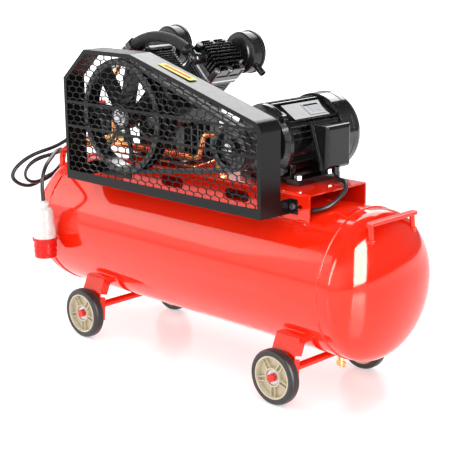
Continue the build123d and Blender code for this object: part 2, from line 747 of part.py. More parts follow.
def motor_frame():
    low, high = MOTOR_Y
    body = rod((0, low, 0), (0, high, 0), 76)
    for angle in range(0, 360, 9):
        if 216 <= angle <= 324 or angle > 340 or angle < 4 or 40 <= angle <= 76:
            continue
        fin = block((70, 88), (low + 4, high - 4), (-1.4, 1.4))
        body += Rot(0, -angle, 0) * fin
    body += Rot(0, -58, 0) * block((60, 79.5), (low + 30, high - 4), (-26, 26))
    body = Pos(MOTOR_X, 0, MOTOR_Z) * body
    for side in (-1, 1):
        x = MOTOR_X + side * FOOT_DX
        body += block((x - 18, x + 18), FOOT_RAIL_Y, (PLATFORM_TOP, PLATFORM_TOP + FOOT_H))
    for y in FOOT_YS:
        body += block((MOTOR_X - 80, MOTOR_X + 80), (y - 8, y + 8), (PLATFORM_TOP, PLATFORM_TOP + 10))
        body += block((MOTOR_X - 58, MOTOR_X + 58), (y - 8, y + 8), (PLATFORM_TOP + 5, MOTOR_Z - 45))
    pedestal = block((MOTOR_X + 55, 340), (20, 76), (530, 596))
    cutter = box_plane().location * (Pos(0, 0, 100) * Box(300, 300, 200))
    body += pedestal - cutter
    body -= rod((MOTOR_X, low - 1, MOTOR_Z), (MOTOR_X, high + 1, MOTOR_Z), 68)
    for x, y in foot_points():
        body -= rod((x, y, PLATFORM_TOP - 5), (x, y, PLATFORM_TOP + FOOT_H), 5.5)
        body -= rod((x, y, PLATFORM_TOP + FOOT_H), (x, y, PLATFORM_TOP + 40), 11)
    return body


def motor_end_shields():
    front = turned_y([(29, -84), (34, -84), (40, -72), (72, -70), (86, -66), (88, -58),
                      (64, -58), (60, -62), (30, -66), (26, -66), (26, -80), (15, -80), (15, -84)],
                     MOTOR_X, MOTOR_Z)
    lugs = front
    for step in range(4):
        lug = rod((0, -69, 0), (0, -58.5, 0), 9)
        lugs += Pos(MOTOR_X, 0, MOTOR_Z) * Rot(0, 45 + 90 * step, 0) * Pos(84, 0, 0) * lug
    rear = turned_y([(15, 103), (15, 105), (26, 105), (26, 119), (32, 119), (34, 116), (80, 116),
                     (91, 115), (91, 110.5), (64, 110), (60, 108), (32, 106), (32, 103)],
                     MOTOR_X, MOTOR_Z)
    return Compound(children=[lugs, rear])


def fan_cover():
    low, high = FAN_COVER_Y
    r = FAN_COVER_R
    cover = turned_y([(r - 1.6, low), (r, low), (r, 147), (r + 1, 148), (r + 1, 150), (r, 151),
                      (r, high - 14), (r - 3, high - 6), (r - 10, high), (0, high), (0, high - 1.6),
                      (r - 11, high - 1.6), (r - 4.8, high - 7), (r - 1.6, high - 14)],
                     MOTOR_X, MOTOR_Z)
    for radius, count in ((22, 8), (39, 14), (56, 20), (73, 26)):
        slot = Plane((0, high + 5, 0), (1, 0, 0), (0, -1, 0)) * SlotOverall(12, 5)
        cut = extrude(slot, amount=12)
        for step in range(count):
            turn = Rot(0, 360 * step / count, 0)
            cover -= Pos(MOTOR_X, 0, MOTOR_Z) * turn * Pos(radius, 0, 0) * cut
    return cover


def stator():
    core = ring((MOTOR_X, -26, MOTOR_Z), (MOTOR_X, 78, MOTOR_Z), 67.9, 45)
    for y in ((-48, -26), (78, 98)):
        core += ring((MOTOR_X, y[0], MOTOR_Z), (MOTOR_X, y[1], MOTOR_Z), 62, 47)
    return core


def rotor_shaft():
    rotor = rod((0, DRIVE_Y[0] - 3, 0), (0, 146, 0), SHAFT_R)
    rotor += rod((0, -26, 0), (0, 78, 0), 44.5)
    rotor = Pos(MOTOR_X, 0, MOTOR_Z) * rotor
    fan = ring((0, 122, 0), (0, 126, 0), 74, SHAFT_R) + ring((0, 122, 0), (0, 146, 0), 20, SHAFT_R)
    for step in range(10):
        fan += Rot(0, 36 * step, 0) * block((18, 72), (124, 146), (-1.5, 1.5))
    return Compound(children=[rotor, Pos(MOTOR_X, 0, MOTOR_Z) * fan])


def motor_pulley():
    low, high = DRIVE_Y
    wheel = ring((0, low, 0), (0, high, 0), PULLEY_R, SHAFT_R)
    wheel -= ring((0, low - 1, 0), (0, low + 9, 0), PULLEY_R - 13, 22)
    for y in BELTS_Y:
        wheel -= turned_y(groove(PULLEY_R, y))
    return Pos(MOTOR_X, 0, MOTOR_Z) * wheel


def terminal_box():
    outline = Polyline((298, 612), (348, 612), (348, 515), (329, 515), close=True)
    box = Pos(0, 6.5, 0) * extrude(Plane.XZ * make_face(outline), amount=-83)
    box = fillet(box.edges().group_by(Axis.X)[-1], 9)
    behind = box_plane().location * (Pos(0, 0, -100) * Box(300, 300, 200))
    deeper = box_plane().location * (Pos(0, 0, -96) * Box(300, 300, 200))
    hollow = block((322, 345), (10, 86), (532, 606)) - deeper
    rim = box_plane().location * (Pos(0, 0, 3) * Box(94, 112, 6))
    lid = (box - behind) + rim.intersect(block((290, 360), (0, 100), (508, 622)))
    gland = hex_bar((337, 48, 503), (337, 48, 515), 17)
    gland -= rod((337, 48, 500), (337, 48, 520), CABLE_R + 0.2)
    return lid - hollow + gland


def motor_nameplate():
    place = Pos(MOTOR_X, 0, MOTOR_Z) * Rot(0, -58, 0)
    return place * block((79.5, 80.5), (32, 88), (-19, 19))


def belt_loop(outer_lift, inner_lift, half_width, y):
    """A closed band round both pulleys; the lifts are measured from the pulleys' outer edges."""
    dx, dz = MOTOR_X - PUMP_X, MOTOR_Z - PUMP_Z
    gap = hypot(dx, dz)
    heading = degrees(atan2(dz, dx))

    def loop(lift):
        big, small = FLYWHEEL_R + lift, PULLEY_R + lift
        lean = (big - small) / gap
        rise = sqrt(1 - lean ** 2)
        hull = Polyline((big * lean, big * rise), (gap + small * lean, small * rise),
                        (gap + small * lean, -small * rise), (big * lean, -big * rise), close=True)
        return make_face(hull) + Circle(big) + Pos(gap, 0) * Circle(small)

    band = extrude(loop(outer_lift) - loop(inner_lift), amount=half_width, both=True)
    place = Pos(PUMP_X, y, PUMP_Z) * Rot(0, -heading, 0) * Rot(90, 0, 0)
    return place * band


def v_belts():
    return Compound(children=[belt_loop(1.5, -1, 6, y) + belt_loop(-1, -6, 5.1, y) for y in BELTS_Y])


def machine_bolts():
    pieces = []
    for x, y in foot_points():
        pieces.append(bolt((x, y, PLATFORM_TOP + FOOT_H), (0, 0, -1), 16, 7, 5, 28))
    for x, y in pump_foot_points():
        pieces.append(bolt((x, y, PLATFORM_TOP + 11), (0, 0, -1), 16, 7, 5, 26))
    for x, _ in GUARD_BOLTS:
        seat = (x, -PLATFORM_HALF_Y - BRACKET_SHEET - 0.2, GUARD_BOLT_Z)
        pieces.append(bolt(seat, (0, 1, 0), 13, 5, 4, 14))
    return Compound(children=pieces)


# ---------------------------------------------------------------- guard

def guard_outline(inset):
    outline = make_face(Polyline(*GUARD_POINTS, close=True))
    corner = outline.vertices().sort_by_distance((334, 642, 0))[0]
    others = [v for v in outline.vertices() if v != corner]
    outline = fillet(corner, GUARD_ROUND)
    return offset(outline, amount=-inset) if inset else outline


def guard_frame():
    front, back = GUARD_Y
    place = Plane((0, front, 0), (1, 0, 0), (0, -1, 0))
    outer = guard_outline(0)
    wall = extrude(place * (outer - guard_outline(GUARD_SHEET)), amount=-(back - front))
    below = Pos(0, 433) * Rectangle(900, 2 * LIP_BOTTOM)
    opening = guard_outline(LIP) - below
    face = outer - opening
    for z in GUARD_RIBS_Z:
        face += (Pos(0, z) * Rectangle(900, GUARD_RIB)) & guard_outline(1)
    frame = wall + extrude(place * face, amount=-GUARD_SHEET)
    return Compound(children=[frame] + guard_brackets())


def guard_brackets():
    """Flat-bar brackets from the guard's end walls to the platform's front flange."""
    flange = -PLATFORM_HALF_Y
    pieces = []
    for wall, inward, bolt_x, end in ((GUARD_POINTS[4][0], -1, *GUARD_BOLTS[0]),
                                      (GUARD_POINTS[0][0], 1, *GUARD_BOLTS[1])):
        near = wall + inward * GUARD_SHEET
        far = near + inward * BRACKET_SHEET
        side_x = (min(near, far), max(near, far))
        foot_x = (min(near, far, end), max(near, far, end))
        bracket = block(side_x, (-175, flange), GUARD_BRACKET_Z)
        bracket += block(foot_x, (flange - BRACKET_SHEET, flange), GUARD_BRACKET_Z)
        bracket -= rod((bolt_x, flange - 20, GUARD_BOLT_Z), (bolt_x, flange + 10, GUARD_BOLT_Z), 4.3)
        pieces.append(bracket)
    return pieces


def clipped(points, edges):
    """Trim a convex polygon to the inside of a set of half-planes (normal, limit)."""
    for (nx, nz), limit in edges:
        kept = []
        for index, point in enumerate(points):
            before = points[index - 1]
            d_now = nx * point[0] + nz * point[1] - limit
            d_before = nx * before[0] + nz * before[1] - limit
            if (d_now > 0) != (d_before > 0):
                share = d_before / (d_before - d_now)
                kept.append((before[0] + share * (point[0] - before[0]),
                             before[1] + share * (point[1] - before[1])))
            if d_now <= 0:
                kept.append(point)
        points = kept
    return points


def inset_edges(margin):
    edges = []
    for index, point in enumerate(GUARD_POINTS):
        after = GUARD_POINTS[(index + 1) % len(GUARD_POINTS)]
        dx, dz = after[0] - point[0], after[1] - point[1]
        length = hypot(dx, dz)
        normal = (-dz / length, dx / length)
        edges.append((normal, normal[0] * point[0] + normal[1] * point[1] - margin))
    corner = (334, 642)
    cut = (0.75, 0.66)
    edges.append((cut, cut[0] * corner[0] + cut[1] * corner[1] - 9 - margin))
    return edges


def polygon_area(points):
    total = 0
    for index, point in enumerate(points):
        before = points[index - 1]
        total += before[0] * point[1] - point[0] * before[1]
    return abs(total) / 2


def mesh_holes():
    half_w = (CELL_X - STRAND) / 2
    tip = 9.4 - STRAND * 0.55
    shoulder = 5.1 - STRAND * 0.3
    cell = [(0, tip), (half_w, shoulder), (half_w, -shoulder), (0, -tip), (-half_w, -shoulder),
            (-half_w, shoulder)]
    edges = inset_edges(5)
    holes = []
    for row in range(24):
        z = 428 + row * CELL_Z
        for column in range(-14, 14):
            x = (column + 0.5 * (row % 2)) * CELL_X
            points = clipped([(x + dx, z + dz) for dx, dz in cell], edges)
            if len(points) > 2 and polygon_area(points) > 15:
                holes.append(points)
    return holes


def guard_mesh():
    border = guard_outline(GUARD_SHEET + 0.2).face().outer_wire()
    holes = [Wire.make_polygon([(x, z, 0) for x, z in points], close=True) for points in mesh_holes()]
    sheet = Face(border, holes)
    place = Plane((0, GUARD_Y[0] + GUARD_SHEET, 0), (1, 0, 0), (0, -1, 0))
    return extrude(place * Sketch(children=[sheet]), amount=-2)


# ---------------------------------------------------------------- controls

def air_manifold():
    x, z = CONTROL_X, CONTROL_Z
    body = block((x - 18, x + 18), (-18, 18), (z - 18, z + 18))
    body = fillet(body.edges().filter_by(Axis.Z), 4)
    body += rod((x, 0, 440), (x, 0, z - 18), PORT_R - 0.1)
    body += rod((x, 0, z + 18), (x, 0, z + 22), 9)
    body += rod((x - 18, 0, z), (x - 27, 0, z), 5)
    body += rod((x, 18, z), (x, 58, z), 15)
    body += rod((x, 40, z + 10), (x, 40, z + 18), 5)
    body -= rod((x, 44, z), (x, 59, z), 4 + RUNNING)
    body += hex_bar((x, -18, z), (x, -30, z), 21)
    body += rod((x, -30, z), (x, -54, z), 11)
    body += rod((x, -40, z), (x, -40, z + 14), 7)
    body += rod((x, -54, z), (x, -72, z), 6.6)
    body -= rod((x, -73, z), (x, -60, z), 3.5)
    body -= rod((x, -40, z + 5), (x, -40, z + 15), 4 + RUNNING)
    body += hex_bar((x + 18, 0, z), (x + 30, 0, z), 17)
    body += rod((x + 30, 0, z), (x + 44, 0, z), 7)
    return body - rod((x + 26, 0, z), (x + 45, 0, z), 2 + RUNNING)


def pressure_switch():
    x, z = CONTROL_X, CONTROL_Z + 22
    cover = block((x - 40, x + 40), (-30, 30), (z + 6, z + 72))
    cover = fillet(cover.edges().filter_by(Axis.Z), 8)
    cover = fillet(cover.edges().group_by(Axis.Z)[-1], 5)
    cover += block((x - 38, x + 38), (-28, 28), (z, z + 6))
    return cover - rod((x, 0, z + 50), (x, 0, z + 80), 5 + RUNNING)


def switch_knob():
    x, z = CONTROL_X, CONTROL_Z + 22
    knob = rod((x, 0, z + 52), (x, 0, z + 74), 5)
    grip = rod((x, 0, z + 73), (x, 0, z + 87), 10)
    return knob + fillet(grip.edges().group_by(Axis.Z)[-1], 3)


def gauge_place(name):
    """Local Z points out of the dial."""
    if name == "tank":
        return Plane((CONTROL_X - 27, 0, CONTROL_Z), (0, -1, 0), (-1, 0, 0)), 21
    return Plane((CONTROL_X, 31.5, CONTROL_Z + 42), (-1, 0, 0), (0, 1, 0)), 20


def pressure_gauge(name):
    place, radius = gauge_place(name)
    case = Pos(0, 0, 9) * Cylinder(radius, 18)
    case -= Pos(0, 0, 16) * Cylinder(radius - 2.5, 8)
    case += Pos(0, 0, 13) * Cylinder(1.4, 4)
    case = place.location * case
    if name == "line":
        case += rod((CONTROL_X, 40, CONTROL_Z + 18), (CONTROL_X, 40, CONTROL_Z + 24), 5)
    return case


def gauge_needle(name):
    place, radius = gauge_place(name)
    tip = radius - 6
    pointer = make_face(Polyline((-1.6, -6), (1.6, -6), (0.5, tip), (-0.5, tip), close=True))
    pointer += Circle(3.4)
    blade = extrude(pointer - Circle(1.4 + RUNNING), amount=1)
    return place.location * (Pos(0, 0, 13) * Rot(0, 0, 135) * blade)


def pressure_gauges():
    return Compound(children=[pressure_gauge("tank"), pressure_gauge("line")])


def regulator_knob():
    x, z = CONTROL_X, CONTROL_Z
    knob = rod((x, 59, z), (x, 84, z), 17)
    flute = Pos(18.2, 0, 0) * Rot(90, 0, 0) * Cylinder(2.2, 30)
    for step in range(16):
        knob -= Pos(x, 72, z) * Rot(0, 22.5 * step, 0) * flute
    return knob + rod((x, 46, z), (x, 60, z), 4)


def outlet_lever():
    x, z = CONTROL_X, CONTROL_Z
    stem = rod((x, -40, z + 7), (x, -40, z + 17), 4)
    plate = block((x - 6, x + 6), (-94, -32), (z + 14.5, z + 17.5))
    return stem + fillet(plate.edges().filter_by(Axis.Z), 5)


def safety_valve_ring():
    x, z = CONTROL_X, CONTROL_Z
    stem = rod((x + 30, 0, z), (x + 50, 0, z), 2)
    return stem + Pos(x + 58, 0, z) * Rot(90, 0, 0) * Torus(9, 1.4)


# ---------------------------------------------------------------- cables and plug

def motor_cable():
    """Down from the terminal box, round into the platform's open end and out to the switch."""
    return cable([(337, 48, 502), (343, 45, 492), (372, 32, 490), (400, 8, 481), (406, -20, 465),
                  (400, -52, 449), (380, -76, 441), (340, -84, 438), (180, -80, 440),
                  (60, -72, 444), (-80, -50, 452), (-240, -10, 461), (-310, 14, 470),
                  (-346, 24, 500), (-362, 17, 532), (-388, 12, 546)], CABLE_R)


def coil_turn(turn):
    """One turn of the hanging lead; each turn is nearer the receiver and smaller."""
    x = COIL_X + COIL_PITCH * turn
    inset = COIL_INSET * turn
    return [(x + 14, -62, 458 - inset), (x - 4, -135, 434 - inset), (x - 8, 2 * inset - 174, 394),
            (x - 6, -128, 362 + inset), (x, -55, 382 + inset)]


def lead_points():
    """From the switch, twice round the hoop, then forward and down to the plug."""
    points = [(CONTROL_X - 42, 8, 558), (CONTROL_X - 62, 10, 555), (-548, 18, 512),
              (-584, -6, 474)]
    points += coil_turn(0)
    points += [(COIL_X + 4, -16, 400), (COIL_X + 9, -18, 436)]
    points += coil_turn(1)
    points += [(-566, -22, 432), (-552, -44, 456), (-535, -75, 464), (-501, -110, 460),
               (-460, -165, 452), (PLUG_X - 6, PLUG_Y + 10, 434), (PLUG_X, PLUG_Y, 402),
               (PLUG_X, PLUG_Y, PLUG_TOP)]
    return points


def power_cables():
    return Compound(children=[motor_cable(), cable(lead_points(), CABLE_R)])


def power_plug():
    """Five-pin plug hanging mouth down: the body, the shrouding collar and the pins."""
    top, mouth, bottom = PLUG_TOP - 1, PLUG_MOUTH, COLLAR_BOTTOM
    body = turned_z([(0, top), (8, top), (14, top - 5), (16, top - 18), (23, top - 27),
                     (25.5, top - 42), (25.5, mouth + 36), (27, mouth + 32), (29, mouth), (0, mouth)],
                    PLUG_X, PLUG_Y)
    collar = turned_z([(26, mouth), (33, mouth), (33, mouth - 6), (29.5, mouth - 9),
                       (28.5, bottom), (25.5, bottom), (26, mouth - 10)], PLUG_X, PLUG_Y)
    pins = []
    for step in range(5):
        angle = 72 * step * pi / 180
        x, y = PLUG_X + 15 * cos(angle), PLUG_Y + 15 * sin(angle)
        pins.append(rod((x, y, bottom + 15), (x, y, mouth), 2.5))
    return Compound(children=[body, collar] + pins)


# ---------------------------------------------------------------- export

def build():
    nodes = {
        "tank_shell": tank_shell(),
        "tank_ends": tank_ends(),
        "machine_platform": machine_platform(),
        "tank_handles": tank_handles(),
        "wheel_brackets": wheel_brackets(),
        "axle_bolts": axle_bolts(),
        "axle_nuts_washers": axle_nuts_washers(),
        "drain_valve_body": drain_valve_body(),
        "drain_valve_tap": drain_valve_tap(),
        "crankcase": crankcase(),
        "crankcase_cover": crankcase_cover(),
        "oil_sight_glass": oil_sight_glass(),
        "oil_filler_plug": oil_filler_plug(),
        "cylinders": Compound(children=[cylinder(-1), cylinder(1)]),
        "valve_plates": Compound(children=[valve_plate(-1), valve_plate(1)]),
        "cylinder_heads": Compound(children=[cylinder_head(-1), cylinder_head(1)]),
        "head_bolts": head_bolts(),
        "air_filters": air_filters(),
        "filter_elements": filter_elements(),
        "crossover_pipe": crossover_pipe(),
        "crossover_fittings": crossover_fittings(),
        "copper_pipes": copper_pipes(),
        "check_valve": check_valve(),
        "crankshaft": crankshaft(),
        "flywheel": flywheel(),
        "shaft_bearings": shaft_bearings(),
        "connecting_rods": connecting_rods(),
        "piston_left": piston(-1),
        "piston_right": piston(1),
        "motor_frame": motor_frame(),
        "motor_end_shields": motor_end_shields(),
        "fan_cover": fan_cover(),
        "stator": stator(),
        "rotor_shaft": rotor_shaft(),
        "motor_pulley": motor_pulley(),
        "terminal_box": terminal_box(),
        "motor_nameplate": motor_nameplate(),
        "v_belts": v_belts(),
        "machine_bolts": machine_bolts(),
        "guard_frame": guard_frame(),
        "guard_mesh": guard_mesh(),
        "air_manifold": air_manifold(),
        "pressure_switch": pressure_switch(),
        "switch_knob": switch_knob(),
        "pressure_gauges": pressure_gauges(),
        "gauge_needle_tank": gauge_needle("tank"),
        "gauge_needle_line": gauge_needle("line"),
        "regulator_knob": regulator_knob(),
        "outlet_lever": outlet_lever(),
        "safety_valve_ring": safety_valve_ring(),
        "power_cables": power_cables(),
        "power_plug": power_plug(),
    }
    corners = (("front_left", -WHEEL_X, -1), ("front_right", WHEEL_X, -1),
               ("rear_left", -WHEEL_X, 1), ("rear_right", WHEEL_X, 1))
    for name, x, side in corners:
        nodes["tyre_" + name] = tyre(x, side)
        nodes["hub_" + name] = hub(x, side)
    return nodes


def export(nodes):
    """Write one STEP file per node, with the footprint's centre moved to X = 0, Y = 0."""
    os.makedirs("parts", exist_ok=True)
    boxes = [shape.bounding_box() for shape in nodes.values()]
    centre_x = (min(box.min.X for box in boxes) + max(box.max.X for box in boxes)) / 2
    centre_y = (min(box.min.Y for box in boxes) + max(box.max.Y for box in boxes)) / 2
    for name, shape in nodes.items():
        solids = [Pos(-centre_x, -centre_y, 0) * solid for solid in shape.solids()]
        piece = solids[0] if len(solids) == 1 else Compound(children=solids)
        export_step(piece, f"parts/{name}.step")


export(build())
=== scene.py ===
import json
from math import atan2, cos, pi, radians, sin

import bmesh
import bpy
from mathutils import Matrix, Vector


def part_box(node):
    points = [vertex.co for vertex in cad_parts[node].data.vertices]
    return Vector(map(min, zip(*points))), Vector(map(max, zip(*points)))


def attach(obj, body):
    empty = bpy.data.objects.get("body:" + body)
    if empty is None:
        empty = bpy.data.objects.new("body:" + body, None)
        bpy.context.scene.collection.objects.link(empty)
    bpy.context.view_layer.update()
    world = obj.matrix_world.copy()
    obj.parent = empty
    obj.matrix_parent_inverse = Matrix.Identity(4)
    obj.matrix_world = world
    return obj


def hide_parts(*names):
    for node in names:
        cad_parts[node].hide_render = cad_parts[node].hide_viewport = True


# Wheeled belt-drive air compressor: looks, small visible detail and studio around the packed
# CAD frame. Metres; +X is the motor end, the belt guard faces -Y, Z = 0 is the floor.

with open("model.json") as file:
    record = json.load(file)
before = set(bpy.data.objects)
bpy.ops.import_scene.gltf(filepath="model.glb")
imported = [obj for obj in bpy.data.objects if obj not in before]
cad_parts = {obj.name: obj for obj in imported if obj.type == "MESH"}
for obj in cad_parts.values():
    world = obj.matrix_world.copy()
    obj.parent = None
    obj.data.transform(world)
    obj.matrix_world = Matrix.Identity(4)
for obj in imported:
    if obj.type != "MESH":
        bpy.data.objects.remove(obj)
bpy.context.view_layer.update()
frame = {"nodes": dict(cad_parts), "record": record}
NODES = frame["nodes"]
TANK_LOW, TANK_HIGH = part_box("tank_shell")
HOME = Vector(((TANK_LOW.x + TANK_HIGH.x) / 2, (TANK_LOW.y + TANK_HIGH.y) / 2, 0))
MM = 0.001
CORNERS = ("front_left", "front_right", "rear_left", "rear_right")


# ---------------------------------------------------------------- materials

# A Mix node's sockets for each kind of value: first input, second input, output.
MIX_SOCKETS = {"RGBA": (6, 7, 2), "VECTOR": (4, 5, 1)}


class Graph:
    """A material's node tree, filled by short calls."""

    def __init__(self, name):
        self.material = bpy.data.materials.new(name)
        self.material.use_nodes = True
        self.tree = self.material.node_tree
        self.tree.nodes.clear()
        self.coords = self.node("ShaderNodeTexCoord").outputs["Object"]

    def node(self, kind, **settings):
        made = self.tree.nodes.new(kind)
        for key, value in settings.items():
            setattr(made, key, value)
        return made

    def feed(self, socket, value):
        if isinstance(value, bpy.types.NodeSocket):
            self.tree.links.new(value, socket)
        elif value is not None:
            socket.default_value = value

    def noise(self, scale, detail=3.0, stretch=(1, 1, 1)):
        mapping = self.node("ShaderNodeMapping")
        self.feed(mapping.inputs["Vector"], self.coords)
        mapping.inputs["Scale"].default_value = stretch
        made = self.node("ShaderNodeTexNoise")
        self.feed(made.inputs["Vector"], mapping.outputs["Vector"])
        made.inputs["Scale"].default_value = scale
        made.inputs["Detail"].default_value = detail
        return made.outputs["Fac"]

    def spread(self, value, low, high, start=0.3, end=0.7):
        """Map a 0..1 field onto low..high."""
        made = self.node("ShaderNodeMapRange")
        self.feed(made.inputs["Value"], value)
        for key, number in (("From Min", start), ("From Max", end),
                            ("To Min", low), ("To Max", high)):
            made.inputs[key].default_value = number
        return made.outputs["Result"]

    def mix(self, share, first, second, kind="RGBA"):
        made = self.node("ShaderNodeMix", data_type=kind)
        first_socket, second_socket, result = MIX_SOCKETS[kind]
        self.feed(made.inputs[0], share)
        self.feed(made.inputs[first_socket], first)
        self.feed(made.inputs[second_socket], second)
        return made.outputs[result]

    def math(self, operation, first, second=None):
        made = self.node("ShaderNodeMath", operation=operation)
        self.feed(made.inputs[0], first)
        self.feed(made.inputs[1], second)
        return made.outputs[0]

    def wave(self, value, pitch):
        """A sine wave along a coordinate in metres."""
        return self.math("SINE", self.math("MULTIPLY", value, 2 * pi / pitch))

    def vector(self, operation, first, second=None):
        made = self.node("ShaderNodeVectorMath", operation=operation)
        self.feed(made.inputs[0], first)
        self.feed(made.inputs[1], second)
        return made

    def bump(self, height, strength, distance, normal=None):
        made = self.node("ShaderNodeBump")
        self.feed(made.inputs["Height"], height)
        made.inputs["Strength"].default_value = strength
        made.inputs["Distance"].default_value = distance
        self.feed(made.inputs["Normal"], normal)
        return made.outputs["Normal"]


def rgba(colour, factor=1.0):
    return (*[min(1.0, c * factor) for c in colour], 1.0)


COAT_ROUGHNESS = 0.04
GLOSS_SCALE = 55.0            # noise cells per metre of the uneven gloss
WEAR_SCALE = 140.0            # noise cells per metre of the worn patches
WEAR_PATCH = (0.45, 0.62)     # noise values where a patch starts and is full
CORNER_TURN = (0.80, 0.995)   # softened against true normal: on a corner, on a flat


def finish_of(name, colour, roughness, metallic=0.0, coat=0.0, tint=0.15, tint_scale=7.0,
              roughness_spread=0.08, grain=0.3, grain_scale=900.0, grain_depth=0.00006,
              edge=0.0008, wear=None, wear_amount=0.6, specular=0.5, stretch=(1, 1, 1),
              sheen=0.0, transmission=0.0, gloss_tint=(1, 1, 1), extra=None):
    """A surface with drifting tint, uneven gloss, fine grain, softened edges and worn corners."""
    g = Graph(name)
    drift = g.spread(g.noise(tint_scale, 4.0), 0.0, 1.0)
    base = g.mix(drift, rgba(colour, 1 - tint), rgba(colour, 1 + tint))
    rough = g.spread(g.noise(GLOSS_SCALE, 5.0, stretch), roughness - roughness_spread,
                     roughness + roughness_spread)
    soft = g.node("ShaderNodeBevel", samples=4)
    soft.inputs["Radius"].default_value = edge
    height = g.noise(grain_scale, 3.0, stretch)
    normal = g.bump(height, grain, grain_depth, soft.outputs["Normal"])
    if wear:
        geometry = g.node("ShaderNodeNewGeometry")
        turn = g.vector("DOT_PRODUCT", soft.outputs["Normal"], geometry.outputs["Normal"])
        bare = g.spread(turn.outputs["Value"], 1.0, 0.0, *CORNER_TURN)
        patchy = g.spread(g.noise(WEAR_SCALE, 4.0), 0.0, wear_amount, *WEAR_PATCH)
        base = g.mix(g.math("MULTIPLY", bare, patchy), base, rgba(wear))
    shader = g.node("ShaderNodeBsdfPrincipled")
    if extra:
        base, rough, normal, metallic = extra(g, base, rough, normal, metallic)
    for key, value in (("Base Color", base), ("Roughness", rough), ("Normal", normal),
                       ("Metallic", metallic), ("Coat Weight", coat),
                       ("Coat Roughness", COAT_ROUGHNESS),
                       ("Specular IOR Level", specular), ("Sheen Weight", sheen),
                       ("Transmission Weight", transmission),
                       ("Specular Tint", rgba(gloss_tint))):
        g.feed(shader.inputs[key], value)
    out = g.node("ShaderNodeOutputMaterial")
    g.feed(out.inputs["Surface"], shader.outputs[0])
    return g.material


TURNED_STEEL = (0.72, 0.72, 0.71, 1)
TURNING_PITCH = 0.0009
FOAM_SCALE = 420.0
STRAND_PITCH = 0.0032
STRAND_SLANT = 0.8
LAMINATION_PITCH = 0.0012


def machined_hub(centre, radius):
    """Bare turned metal inside a radius round a line along Y."""
    def change(g, base, rough, normal, metallic):
        offset = g.vector("SUBTRACT", g.coords, centre).outputs[0]
        flat = g.vector("MULTIPLY", offset, (1, 0, 1)).outputs[0]
        reach = g.vector("LENGTH", flat).outputs["Value"]
        bare = g.math("LESS_THAN", reach, radius)
        turned = g.bump(g.wave(reach, TURNING_PITCH), 0.25, 0.00004, normal)
        return (g.mix(bare, base, TURNED_STEEL), rough,
                g.mix(bare, normal, turned, "VECTOR"), bare)
    return change


def open_cells(g, base, rough, normal, metallic):
    """Open-cell foam."""
    cells = g.node("ShaderNodeTexVoronoi")
    g.feed(cells.inputs["Vector"], g.coords)
    cells.inputs["Scale"].default_value = FOAM_SCALE
    return base, rough, g.bump(cells.outputs["Distance"], 0.9, 0.0006, normal), metallic


def braided(g, base, rough, normal, metallic):
    """Crossing strands of a woven hose cover."""
    split = g.node("ShaderNodeSeparateXYZ")
    g.feed(split.inputs[0], g.coords)
    rise = g.math("ADD", split.outputs["Z"], split.outputs["Y"])
    fall = g.math("SUBTRACT", split.outputs["Z"], split.outputs["Y"])
    waves = []
    for slope in (rise, fall):
        across = g.math("ADD", g.math("MULTIPLY", split.outputs["X"], STRAND_SLANT), slope)
        waves.append(g.wave(across, STRAND_PITCH))
    strands = g.math("MULTIPLY", waves[0], waves[1])
    return base, rough, g.bump(strands, 0.7, 0.0004, normal), metallic


def laminated(g, base, rough, normal, metallic):
    """Thin sheets stacked along Y."""
    split = g.node("ShaderNodeSeparateXYZ")
    g.feed(split.inputs[0], g.coords)
    stack = g.wave(split.outputs["Y"], LAMINATION_PITCH)
    return base, rough, g.bump(stack, 0.6, 0.0002, normal), metallic


RED = (0.85, 0.0165, 0.0025)
BLACK = (0.0075, 0.0075, 0.008)
WORN_STEEL = (0.32, 0.31, 0.30)

FLYWHEEL_LOW, FLYWHEEL_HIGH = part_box("flywheel")
FLYWHEEL_CENTRE = (FLYWHEEL_LOW + FLYWHEEL_HIGH) / 2
HUB_FACE = 0.021              # radius of the flywheel's turned hub face

